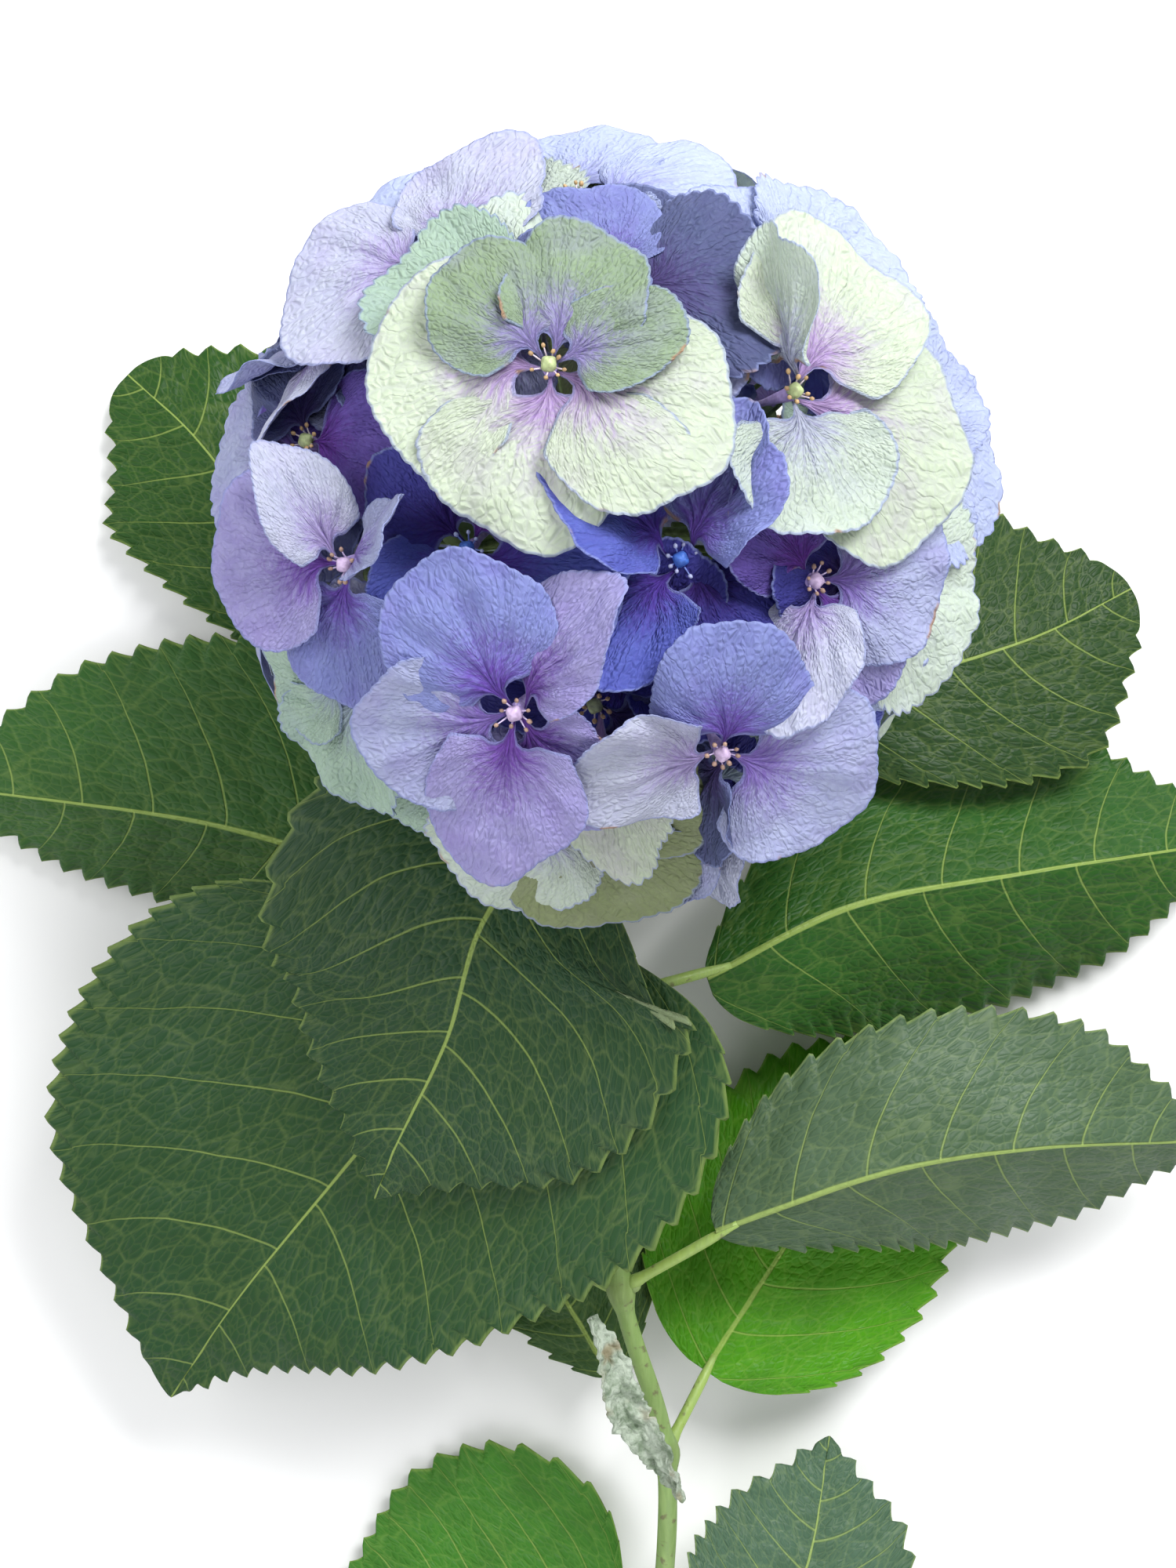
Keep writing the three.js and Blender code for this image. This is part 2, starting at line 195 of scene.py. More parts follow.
class Skin:
    """Points, faces and the facts at every point, gathered from many grids."""

    def __init__(self):
        self.points, self.faces, self.finishes = [], [], []
        self.facts = {"place": [], "tint": [], "heart": []}
        self.count = 0

    def add(self, points, faces, finish=0, **facts):
        points = np.asarray(points).reshape(-1, 3)
        self.points.append(points)
        self.faces += [tuple(self.count + k for k in face) for face in faces]
        self.finishes += [finish] * len(faces)
        for name, rows in self.facts.items():
            rows.append(np.broadcast_to(facts.get(name, (0, 0, 0)), points.shape))
        self.count += len(points)


def grid_faces(rows, columns, start=0, turned=False):
    """The four-cornered faces between neighbouring rows and columns of a grid of points."""
    faces = []
    for i in range(rows - 1):
        for j in range(columns - 1):
            a = start + i * columns + j
            face = (a, a + columns, a + columns + 1, a + 1)
            faces.append(face[::-1] if turned else face)
    return faces


def rim_of(rows, columns):
    """The numbers of a grid's points round its edge, in order."""
    down = [i * columns for i in range(rows)]
    along = [(rows - 1) * columns + j for j in range(1, columns)]
    back = [i * columns + columns - 1 for i in range(rows - 2, -1, -1)]
    return down + along + back + list(range(columns - 2, 0, -1))


LOWEST = 0.0008  # the middle of a sheet stays this far above the floor, in metres


def closed_sheet(skin, grid, thickness, finish=0, **facts):
    """Adds a thin closed skin round a grid of middle points. The facts' grids go to both of its faces."""
    rows, columns = grid.shape[:2]
    grid = np.concatenate([grid[..., :2], np.maximum(grid[..., 2:], LOWEST)], axis=-1)
    upward = unit(np.cross(np.gradient(grid, axis=0), np.gradient(grid, axis=1)))
    half = np.broadcast_to(np.asarray(thickness) / 2, (rows, columns))[..., None]
    points = np.concatenate([(grid + upward * half).reshape(-1, 3), (grid - upward * half).reshape(-1, 3)])
    under = rows * columns
    faces = grid_faces(rows, columns) + grid_faces(rows, columns, under, turned=True)
    rim = rim_of(rows, columns)
    faces += [(q, p, p + under, q + under) for p, q in zip(rim, rim[1:] + rim[:1])]
    both = {}
    for name, values in facts.items():
        flat = np.broadcast_to(values, grid.shape).reshape(-1, 3)
        both[name] = np.concatenate([flat, flat])
    skin.add(points, faces, finish, **both)


print("paint test, mid grey:", paint("#808080").round(3))

# %% Tubes round a line


def tube(skin, line, radii, sides, finish=0, **facts):
    """Adds a closed round skin along a line of points, with one radius for each point."""
    line = np.asarray(line, float)
    ahead = unit(np.gradient(line, axis=0))
    side = np.cross(ahead[0], (0.0, 0.0, 1.0) if abs(ahead[0][2]) < 0.9 else (0.0, 1.0, 0.0))
    rings = []
    for point, way, radius in zip(line, ahead, radii):
        side = unit(side - way * (side @ way))
        other = np.cross(way, side)
        turns = np.arange(sides) * 2 * np.pi / sides
        rings.append(point + radius * (np.outer(np.cos(turns), side) + np.outer(np.sin(turns), other)))
    count = len(line)
    points = np.concatenate([line[:1], np.concatenate(rings), line[-1:]])
    faces = []
    for i in range(count):
        for k in range(sides):
            here, beside = 1 + i * sides + k, 1 + i * sides + (k + 1) % sides
            if i == 0:
                faces.append((0, beside, here))
            if i == count - 1:
                faces.append((count * sides + 1, here, beside))
            else:
                faces.append((here, beside, beside + sides, here + sides))
    spread = {}
    for name, values in facts.items():
        values = np.asarray(values, float)
        if values.ndim == 2:  # one row of values for each point of the line
            values = np.concatenate([values[:1], np.repeat(values, sides, axis=0), values[-1:]])
        spread[name] = values
    skin.add(points, faces, finish, **spread)


trial = Skin()
tube(trial, [(0, 0, 0), (0, 0, 1), (0, 0, 2)], [1, 1, 1], 8)
print("faces of a short eight-sided tube:", len(trial.faces))

# %% Turn a skin into a piece


def piece_from(skin, name, finishes, slot, *nodes):
    """Makes the mesh, rides it on the flower's one body and hides the solids it stands for."""
    points = np.concatenate(skin.points)
    mesh = bpy.data.meshes.new(name)
    mesh.from_pydata(points.tolist(), [], skin.faces)
    for material in finishes:
        mesh.materials.append(material)
    mesh.polygons.foreach_set("material_index", skin.finishes)
    mesh.polygons.foreach_set("use_smooth", [True] * len(mesh.polygons))
    place = mesh.attributes.new("place", "FLOAT_VECTOR", "POINT")
    place.data.foreach_set("vector", np.concatenate(skin.facts["place"]).ravel())
    for fact in ("tint", "heart"):
        colours = np.concatenate(skin.facts[fact])
        layer = mesh.attributes.new(fact, "FLOAT_COLOR", "POINT")
        layer.data.foreach_set("color", np.c_[colours, np.ones(len(colours))].ravel())
    mesh.update()
    made = bpy.data.objects.new(name, mesh)
    bpy.context.collection.objects.link(made)
    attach(made, "root")
    if nodes:
        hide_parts(*nodes)
    return made


def triangles(piece):
    return sum(len(face.vertices) - 2 for face in piece.data.polygons)


print("pieces ride the body root; solids to stand for:", len(frame["nodes"]))

# %% [markdown]
# ## Small tools for finishes
# A finish is a tree of shader nodes. Written out one by one the nodes hide the idea, so a few helpers each
# make one node, take numbers or other nodes' outputs, and give back an output.

# %% Node helpers


class Finish:
    """A material and short names for the nodes that it is made of."""

    def __init__(self, name):
        self.material = bpy.data.materials.new(name)
        self.material.use_nodes = True
        self.tree = self.material.node_tree
        self.skin = self.tree.nodes["Principled BSDF"]
        self.output = self.tree.nodes["Material Output"]

    def node(self, kind, **settings):
        made = self.tree.nodes.new("ShaderNode" + kind)
        for name, value in settings.items():
            setattr(made, name, value)
        return made

    def put(self, socket, value):
        if isinstance(value, bpy.types.NodeSocket):
            self.tree.links.new(value, socket)
        else:
            socket.default_value = value

    def fact(self, name, output="Vector"):
        return self.node("Attribute", attribute_name=name).outputs[output]

    def parts(self, vector):
        made = self.node("SeparateXYZ")
        self.put(made.inputs[0], vector)
        return made.outputs

    def join(self, x, y, z=0.0):
        made = self.node("CombineXYZ")
        for socket, value in zip(made.inputs, (x, y, z)):
            self.put(socket, value)
        return made.outputs[0]

    def math(self, operation, *values):
        made = self.node("Math", operation=operation)
        for socket, value in zip(made.inputs, values):
            self.put(socket, value)
        return made.outputs[0]

    def ramp(self, value, low, high, start=0.0, end=1.0):
        """start below low, end above high, and an even S between them."""
        made = self.node("MapRange", interpolation_type="SMOOTHSTEP")
        for socket, number in zip(made.inputs, (value, low, high, start, end)):
            self.put(socket, number)
        return made.outputs[0]

    def blend(self, share, first, second, way="MIX"):
        made = self.node("MixRGB", blend_type=way)
        for socket, value in zip(made.inputs, (share, first, second)):
            self.put(socket, value)
        return made.outputs[0]

    def noise(self, vector, scale, detail=2.0, rough=0.5):
        made = self.node("TexNoise")
        self.put(made.inputs["Vector"], vector)
        for name, value in (("Scale", scale), ("Detail", detail), ("Roughness", rough)):
            made.inputs[name].default_value = value
        return made.outputs["Fac"]

    def cells(self, vector, scale):
        """The distance from the nearest wall between irregular cells."""
        made = self.node("TexVoronoi", feature="DISTANCE_TO_EDGE")
        self.put(made.inputs["Vector"], vector)
        made.inputs["Scale"].default_value = scale
        return made.outputs["Distance"]

    def bump(self, height, distance, strength):
        made = self.node("Bump")
        made.inputs["Distance"].default_value = distance
        made.inputs["Strength"].default_value = strength
        self.put(made.inputs["Height"], height)
        return made.outputs[0]

    def see_through(self, colour, share):
        """Lets part of the light come through from behind, as thin living tissue does."""
        glow = self.node("BsdfTranslucent")
        self.put(glow.inputs["Color"], colour)
        both = self.node("MixShader")
        both.inputs[0].default_value = share
        self.tree.links.new(self.skin.outputs[0], both.inputs[1])
        self.tree.links.new(glow.outputs[0], both.inputs[2])
        self.tree.links.new(both.outputs[0], self.output.inputs["Surface"])


def rgba(code):
    return (*paint(code), 1)


print("node helpers:", [word for word in vars(Finish) if not word.startswith("_")])

# %% [markdown]
# ## The sepals' finish
# What look like petals are sepals: papery, matt and finely wrinkled. Each has its own paint, a second paint
# at its heart, veins that fan out from the claw and fork, and a thin blue-violet rim that is browned in
# places. One material does all of them, because both paints travel with the mesh.

# %% Sepal finish
RIM_PAINT = "#9aa6dc"
WORN_PAINT = "#b98f5e"
VEIN_FANS = ((5.0, 0.0), (10.0, 0.28), (20.0, 0.5))  # veins to each side, and where they start

sepal = Finish("sepal_skin")
across, outward, margin = sepal.parts(sepal.fact("place"))[:3]
body = sepal.fact("tint", "Color")
heart = sepal.fact("heart", "Color")
where = sepal.node("TexCoord").outputs["Object"]

blotch = sepal.noise(where, 95.0, 3.0)
body = sepal.blend(sepal.ramp(blotch, 0.45, 0.75, 0.0, 0.22), body, heart)
paler = sepal.ramp(sepal.noise(where, 260.0), 0.3, 0.75, 0.0, 0.3)
body = sepal.blend(paler, body, rgba("#eef0ea"), "SOFT_LIGHT")

streak = sepal.noise(sepal.join(sepal.math("MULTIPLY", across, 7.0), outward, margin), 1.6, 3.0)
reach = sepal.math("ADD", outward, sepal.math("MULTIPLY", sepal.math("SUBTRACT", 0.5, streak), 0.55))
painted = sepal.blend(sepal.ramp(reach, 0.12, 0.66, 0.95, 0.0), body, heart)

wander = sepal.math("MULTIPLY", sepal.noise(sepal.join(across, outward), 5.0), 0.16)
veins = 0.0
for count, start in VEIN_FANS:
    turn = sepal.math("MULTIPLY", sepal.math("ADD", across, wander), count)
    off = sepal.math("PINGPONG", turn, 0.5)
    core = sepal.ramp(off, 0.02, 0.16, 1.0, 0.0)
    line = sepal.math("MULTIPLY", core, sepal.ramp(outward, start, start + 0.12))
    veins = sepal.math("MAXIMUM", veins, line)
fade = sepal.math("MULTIPLY", veins, sepal.ramp(outward, 0.2, 0.8, 0.42, 0.05))
dark_heart = sepal.blend(1.0, heart, rgba("#b9a6d6"), "MULTIPLY")
painted = sepal.blend(fade, painted, dark_heart)


# %% Net, rim and wrinkles of the sepals
net_place = sepal.join(sepal.math("MULTIPLY", across, 26.0), sepal.math("MULTIPLY", outward, 17.0))
net = sepal.cells(net_place, 1.0)
painted = sepal.blend(sepal.ramp(net, 0.0, 0.16, 0.1, 0.0), painted, dark_heart)
painted = sepal.blend(sepal.ramp(margin, 0.25, 0.7, 0.55, 0.0), painted, rgba(RIM_PAINT))
at_rim = sepal.ramp(margin, 0.3, 0.9, 0.8, 0.0)
worn = sepal.math("MULTIPLY", sepal.ramp(sepal.noise(where, 120.0), 0.64, 0.72), at_rim)
painted = sepal.blend(worn, painted, rgba(WORN_PAINT))

crease_place = sepal.join(sepal.math("MULTIPLY", across, 9.0), sepal.math("MULTIPLY", outward, 4.0))
crease = sepal.noise(crease_place, 1.5, 4.0)
relief = sepal.math("ADD", sepal.ramp(net, 0.0, 0.4), sepal.math("MULTIPLY", crease, 2.2))
relief = sepal.math("SUBTRACT", relief, sepal.math("MULTIPLY", veins, 0.5))
sepal.put(sepal.skin.inputs["Base Color"], painted)
sepal.put(sepal.skin.inputs["Normal"], sepal.bump(relief, 0.00035, 0.75))
sepal.put(sepal.skin.inputs["Roughness"], sepal.ramp(net, 0.0, 0.5, 0.7, 0.56))
sepal.skin.inputs["Specular IOR Level"].default_value = 0.3
sepal.see_through(painted, 0.3)
print("sepal finish nodes:", len(sepal.tree.nodes))

# %% [markdown]
# ## The shape of one sepal
# A sepal is a fan on a short narrow claw. Its outline is a circle set ahead of the claw, and rays fan out
# from the claw to that circle. A grid of rays and rings then bends: cupped, curled at the end, folded along
# its middle, ruffled at the margin and puckered all over. Rays keep the veins and wrinkles running the way
# they grow.

# %% Sepal grid
FAN = math.radians(84)  # from the middle ray to the outermost one
ROUND = 0.56  # radius of the outline's circle, as a share of the fan's length
CLAW = 0.11  # the claw's length as a share of the sepal's
CLAW_HALF = 0.045  # half its width
TOOTH = (0.0, 0.8, 1.0)  # one tooth of the margin, which leans forward
RIM_STEP = 0.6  # mm between the last two rows, so that the rim's colour stays thin


def sepal_grid(long, wide, cup, side, curl, fold, ruffle, waves, tip, teeth, seed, rows, columns):
    """Middle points of a sepal in millimetres, x outward, y across, z up, and its places."""
    u = np.append(np.linspace(0, 1 - RIM_STEP / long, rows - 1), 1.0)[:, None]
    v = np.linspace(-1, 1, columns)[None, :]
    ahead = (1 - ROUND) * np.cos(v * FAN)
    far = ahead + np.sqrt(ROUND ** 2 - ((1 - ROUND) * np.sin(v * FAN)) ** 2)
    far = far * (1 + tip * np.exp(-(v / 0.14) ** 2))
    jag = np.array([TOOTH[j % 3] for j in range(columns)])[None, :] - 0.5
    lobes = np.array([noise.noise(Vector((j * 5.5 / columns, seed, 0))) for j in range(columns)])[None, :]
    far = far * (1 + 0.17 * lobes) + teeth / long * jag * smooth(0.75, 1, u)
    out = np.clip((u - CLAW) / (1 - CLAW), 0, 1)
    angle = v * FAN * (0.28 + 0.72 * smooth(0, 0.4, out))
    ray = (1 - CLAW) * out * far
    x = CLAW * np.minimum(1, u / CLAW) + ray * np.cos(angle)
    y = CLAW_HALF * v * smooth(-0.1, 0.3, u) + wide * ray * np.sin(angle)
    z = cup * x ** 2 + side * y ** 2 + fold * np.sqrt(y ** 2 + 0.002) + curl * smooth(0.55, 1.1, u) ** 2
    z = z + ruffle * u ** 2.5 * np.sin(waves * np.pi * v + seed * 1.7) - 0.06 * (1 - smooth(0, 0.2, x))
    grid = np.stack(np.broadcast_arrays(x, y, z), axis=-1) * long
    for i in range(1, rows):
        for j in range(columns):
            px, py = grid[i, j, 0], grid[i, j, 1]
            pucker = noise.noise(Vector((px * 0.16, py * 0.16, seed))) * 1.35
            pleat = noise.noise(Vector((v[0, j] * 6.5, u[i, 0] * 1.7, seed + 9))) * 1.05
            grid[i, j, 2] += (pucker + pleat) * min(1.0, px / (0.35 * long))
    inside = np.minimum((1 - u) * far * long, (1 - np.abs(v)) * FAN * np.maximum(ray, 0.04) * long)
    place = np.stack(np.broadcast_arrays(v, u, np.maximum(inside, 0)), axis=-1)
    return grid, place


trial = sepal_grid(30, 1, 0, 0, 0, 0, 0, 3, 0, 0, 1, 8, 40)[0]
print("length of a flat 30 mm sepal:", trial[..., 0].max().round(1), "width:", np.ptp(trial[..., 1]).round(1))

# %% [markdown]
# ## Paints of the flower head
# The sun side is pale cream and green with pink claws. The sides are lilac and periwinkle with violet
# hearts, the depths are deep blue, and what never saw the light is olive and mint.

# %% Paint pots
POTS = {
    "cream": ("#cfdcc4", "#c3a4dc"),
    "pale": ("#cddbcb", "#c3c8e2"),
    "sage": ("#93aa88", "#a396d4"),
    "mint": ("#b0cab6", "#b0c2d0"),
    "olive": ("#929f72", "#a8ab98"),
    "grey": ("#b0b7da", "#8f72ca"),
    "silver": ("#c8cde2", "#b5a2dc"),
    "lilac": ("#a9a4d8", "#7c49b6"),
    "peri": ("#8a94d2", "#744cba"),
    "sky": ("#c0ccee", "#a9aee4"),
    "blue": ("#5d69c2", "#5e3aaa"),
    "violet": ("#6f5cb4", "#7238a4"),
    "deep": ("#43439a", "#4a2c88"),
    "slate": ("#5b648e", "#564684"),
}
SHADED_POTS = ["mint", "olive", "pale", "silver", "olive", "grey"]  # underneath the head
print("paint pots:", ", ".join(POTS))

# %% [markdown]
# ## The florets
# Each floret has four to six sepals in two layers, round a closed bud with eight stamens. The florets in
# front
# are listed one by one: for each sepal the clock angle it points to, its length, its pot of paint, and how it
# is bent where it isn't plain. A floret seen from the side would show its sepals on edge, so "rise" lifts a
# sepal out of its floret's plane and "roll" turns it about its own length.

# %% Florets listed one by one
# For each floret: where its eye is, to the right of the head's middle, away and outward, in mm, then its
# sepals. None leaves the eye where the solid's is.
HAND_SET = {
    "floret_01": (None, [
        (276, 33, "cream", dict(rise=2, wide=1.2)),
        (181, 28, "cream", dict(layer=-1, tip=0.1, wide=1.65, side=0.0)),
        (114, 33, "cream", dict(rise=2, wide=1.15)),
        (320, 27, "sage", dict(layer=2, rise=9, wide=0.95, cup=-0.2, side=-0.15)),
        (21, 27, "sage", dict(layer=1.6, rise=9, wide=0.95, cup=-0.16, ruffle=0.07)),
        (70, 25, "sage", dict(layer=2, rise=9, wide=0.72, cup=-0.14)),
    ]),
    "floret_02": (None, [
        (24, 36, "cream", dict(layer=2, rise=4)),
        (112, 38, "cream", dict(rise=-2, wide=1.15)),
        (168, 27, "pale", dict(layer=1, rise=4, wide=1.2, curl=0.14)),
        (344, 32, "pale", dict(layer=1, rise=22, roll=-76, wide=0.62)),
    ]),
    "floret_03": (None, [
        (277, 30, "lilac", dict(layer=1, rise=14, wide=1.1)),
        (330, 25, "silver", dict(layer=2, rise=18, roll=42, wide=0.72, fold=0.35, tip=0.16)),
        (60, 21, "grey", dict(layer=1, rise=30, roll=-50, wide=0.8)),
        (190, 27, "peri", dict(rise=-4, wide=0.9)),
    ]),
    "floret_04": (None, [
        (327, 30, "peri", dict(layer=2, rise=4, wide=1.05)),
        (255, 30, "grey", dict(layer=1, rise=2, wide=0.95)),
        (189, 34, "lilac", dict(layer=2, rise=4, wide=0.8)),
        (146, 28, "lilac", dict(rise=-6, wide=0.75)),
        (30, 30, "lilac", dict(rise=12, roll=-48, wide=0.8)),
    ]),
    "floret_05": (None, [
        (5, 25, "peri", dict(layer=2, rise=12, wide=1.2, curl=-0.1)),
        (260, 28, "silver", dict(layer=1, rise=8, roll=-15, wide=0.85)),
        (106, 31, "grey", dict(layer=1, rise=4, wide=1.2)),
        (187, 30, "slate", dict(rise=-28, roll=72, wide=0.7)),
    ]),
    "floret_06": (None, [
        (118, 30, "blue", dict(layer=1, rise=10, wide=1.15)),
        (320, 24, "deep", dict(rise=20)),
        (222, 24, "blue", dict(rise=20)),
        (30, 24, "violet", dict(rise=15)),
    ]),
    "floret_07": (None, [
        (312, 33, "blue", dict(layer=1, rise=16, roll=52, wide=0.95, fold=0.2)),
        (28, 31, "peri", dict(layer=1, rise=20, roll=-50, wide=0.95, fold=0.2)),
        (135, 25, "deep", dict(rise=10, roll=-20)),
        (225, 29, "blue", dict(layer=1, rise=8, roll=34, wide=0.9)),
    ]),
    "floret_08": (None, [
        (85, 28, "grey", dict(layer=1, rise=8, wide=1.15, ruffle=0.05)),
        (203, 29, "silver", dict(layer=1, rise=26, roll=48, wide=0.8)),
        (320, 24, "violet", dict(rise=14, wide=0.95)),
        (145, 27, "lilac", dict(rise=8, wide=0.85)),
    ]),
    "floret_09": (None, [
        (300, 25, "blue", dict(rise=28, roll=36, wide=0.85)),
        (30, 24, "deep", dict(layer=1, rise=22, wide=0.9)),
        (120, 24, "deep", dict(rise=22, roll=-30, wide=0.9)),
        (210, 24, "blue", dict(layer=1, rise=16, wide=0.85)),
    ]),
    "floret_10": (None, [
        (20, 25, "deep", dict(rise=14)),
        (95, 27, "blue", dict(layer=1, rise=8, wide=0.9)),
        (175, 22, "deep", dict(rise=10, wide=0.95)),
        (280, 22, "deep", dict(layer=1, rise=14, wide=0.9)),
    ]),
}
print("florets in front:", len(HAND_SET))

# %% [markdown]
# Florets on the far side and the left lean away, and the front ones cover their eyes. Only their outer
# sepals show, so the places of the eyes matter less than where those sepals end.

# %% Florets on the far side and the left
HAND_SET.update({
    "floret_11": ((-31, 46, 76), [
        (262, 33, "silver", dict(layer=2, rise=2, wide=1.15)),
        (24, 30, "silver", dict(layer=2, rise=1)),
        (318, 36, "sky", dict(rise=-4, wide=1.2)),
        (130, 24, "mint", dict()),
    ]),
    "floret_12": ((2, 39, 73), [
        (82, 33, "slate", dict(layer=1, rise=5, wide=1.2, teeth=1.0)),
        (130, 28, "grey", dict(rise=4, wide=1.1)),
        (338, 25, "peri", dict(layer=2, wide=1.1)),
        (28, 27, "slate", dict(rise=2, wide=1.15)),
    ]),
    "floret_13": ((35, 43, 73), [
        (243, 29, "peri", dict(layer=2, rise=4, wide=1.15)),
        (55, 32, "sky", dict(layer=1, wide=1.3, teeth=1.0)),
        (330, 26, "sky", dict(wide=1.2)),
        (140, 28, "blue", dict(wide=1.1)),
    ]),
    "floret_14": ((-5, 60, 74), [
        (345, 30, "sky", dict(wide=1.3)),
        (82, 31, "sky", dict(layer=1, rise=2, wide=1.2)),
        (168, 25, "sky", dict(layer=2, rise=8, wide=1.2)),
        (268, 29, "peri", dict(wide=1.1)),
    ]),
    "floret_15": ((-17, 53, 71), [
        (20, 20, "pale", dict(layer=1, rise=10, teeth=1.4)),
        (320, 24, "mint", dict(rise=4, wide=1.1, teeth=1.0)),
        (90, 22, "grey", dict(rise=4)),
        (215, 22, "mint", dict(layer=1, rise=4)),
    ]),
    "floret_16": ((-50, 34, 73), [
        (262, 30, "grey", dict(layer=1, rise=4, roll=48, wide=0.9)),
        (290, 28, "slate", dict(rise=-4, roll=30)),
        (225, 28, "silver", dict(layer=2, rise=8, roll=40, wide=0.9)),
        (20, 26, "sky", dict(wide=1.1)),
        (120, 24, "slate", dict(rise=4)),
    ]),
    "floret_17": ((-41, 17, 62), [
        (168, 25, "slate", dict(rise=8)),
        (262, 30, "violet", dict(layer=3, rise=12, wide=1.15)),
        (75, 24, "deep", dict(rise=4)),
        (328, 27, "grey", dict(layer=1, rise=6, roll=20)),
    ]),
    "floret_18": ((-57, 14, 72), [
        (262, 31, "grey", dict(wide=1.3, teeth=1.2)),
        (100, 24, "violet", dict(layer=2, rise=8, wide=1.15)),
        (185, 27, "slate", dict(layer=1, wide=1.1)),
        (345, 24, "slate", dict(layer=1, rise=4, wide=1.1)),
    ]),
    "floret_19": ((-48, -34, 70), [
        (112, 25, "mint", dict(layer=1, rise=4, wide=1.1, ruffle=0.11, waves=4, teeth=1.0)),
        (200, 27, "mint", dict(wide=1.2, ruffle=0.12, waves=4, teeth=1.0)),
        (285, 24, "mint", dict(layer=1, wide=1.1, ruffle=0.08)),
        (20, 24, "silver", dict(rise=8, roll=30)),
    ]),
})
print("with the far side and the left:", len(HAND_SET))

# %% [markdown]
# On the near side the head turns green and olive, and on the right it is pale blue with toothed margins.
# The last floret fills in behind the biggest one.

# %% Florets on the near side and the right
HAND_SET.update({
    "floret_20": ((-30, -47, 66), [
        (150, 24, "peri", dict(layer=1, wide=1.1)),
        (235, 25, "mint", dict(wide=1.2, teeth=1.0)),
        (330, 24, "blue", dict(layer=1, rise=8)),
        (60, 22, "deep", dict(rise=8)),
    ]),
    "floret_21": ((-6, -58, 73), [
        (163, 33, "olive", dict(rise=-2, wide=1.25, teeth=0.8)),
        (236, 31, "pale", dict(layer=1, wide=1.15, teeth=0.8)),
        (300, 22, "lilac", dict()),
        (80, 26, "olive", dict(layer=1, wide=1.1)),
    ]),
    "floret_22": ((-2, -37, 67), [
        (172, 38, "cream", dict(layer=1, rise=7, roll=24, wide=0.62, teeth=1.4)),
        (120, 24, "slate", dict()),
        (20, 22, "deep", dict(rise=6)),
        (290, 22, "deep", dict(layer=1, rise=4)),
    ]),
    "floret_23": ((20, -54, 69), [
        (184, 30, "silver", dict(layer=1, roll=66, wide=0.9)),
        (205, 29, "grey", dict(roll=74, wide=0.8)),
        (110, 27, "pale", dict(rise=-6, wide=1.1, teeth=1.0)),
        (40, 26, "mint", dict()),
    ]),
    "floret_24": ((48, -12, 70), [
        (108, 33, "pale", dict(layer=1, wide=1.3, teeth=1.3)),
        (170, 29, "sky", dict(wide=1.1, teeth=1.0)),
        (20, 24, "sky", dict(wide=1.1)),
        (262, 22, "deep", dict(layer=1, rise=10)),
    ]),
    "floret_25": ((54, 14, 72), [
        (96, 34, "sky", dict(wide=1.25, teeth=1.2)),
        (160, 32, "sky", dict(layer=1, wide=1.2, teeth=1.2)),
        (28, 31, "sky", dict(layer=1, wide=1.2, teeth=1.0)),
        (270, 24, "mint", dict()),
    ]),
    "floret_26": ((46, 42, 68), [
        (30, 28, "pale", dict(wide=1.1, teeth=1.0)),
        (110, 28, "sky", dict(layer=1, wide=1.2)),
        (320, 28, "sky", dict(layer=1, wide=1.1)),
        (215, 24, "peri", dict(rise=6)),
    ]),
    "floret_27": ((38, -28, 63), [
        (95, 27, "silver", dict(layer=1, rise=10, roll=34, wide=0.95, ruffle=0.07)),
        (150, 25, "peri", dict(rise=4)),
        (20, 24, "silver", dict(rise=12, roll=-20)),
        (225, 24, "deep", dict(layer=1, rise=10)),
    ]),
    "floret_28": ((-17, 33, 75), [
        (298, 29, "mint", dict(layer=1, rise=2, wide=1.1, teeth=1.2)),
        (350, 27, "pale", dict(rise=2, wide=1.1, teeth=1.2)),
        (55, 26, "slate", dict(layer=1)),
        (200, 24, "grey", dict()),
    ]),
})
print("florets set by hand:", len(HAND_SET))

# %% Stand a sepal on its floret
LAYER_STEP = 0.8  # mm between the layers of sepals
CLAW_START = 0.9  # mm from the floret's axis to a claw's foot
EYE_SINK = 1.8  # mm from the tip of the bud down to the claws of the lowest layer
SEPAL_THICK = 0.32
KEPT_FLAT = 0.8  # how much of its flatness a sepal keeps where it would hug the head
PLAIN = dict(layer=0, rise=0, roll=0, wide=1.0, cup=-0.12, side=-0.05, curl=0.0, fold=0.02, ruffle=0.045,
             waves=2.6, tip=0.0, teeth=0.35)
UNEVEN = dict(cup=0.09, side=0.12, curl=0.06, fold=0.07, ruffle=0.02, waves=0.9)  # no two sepals are alike


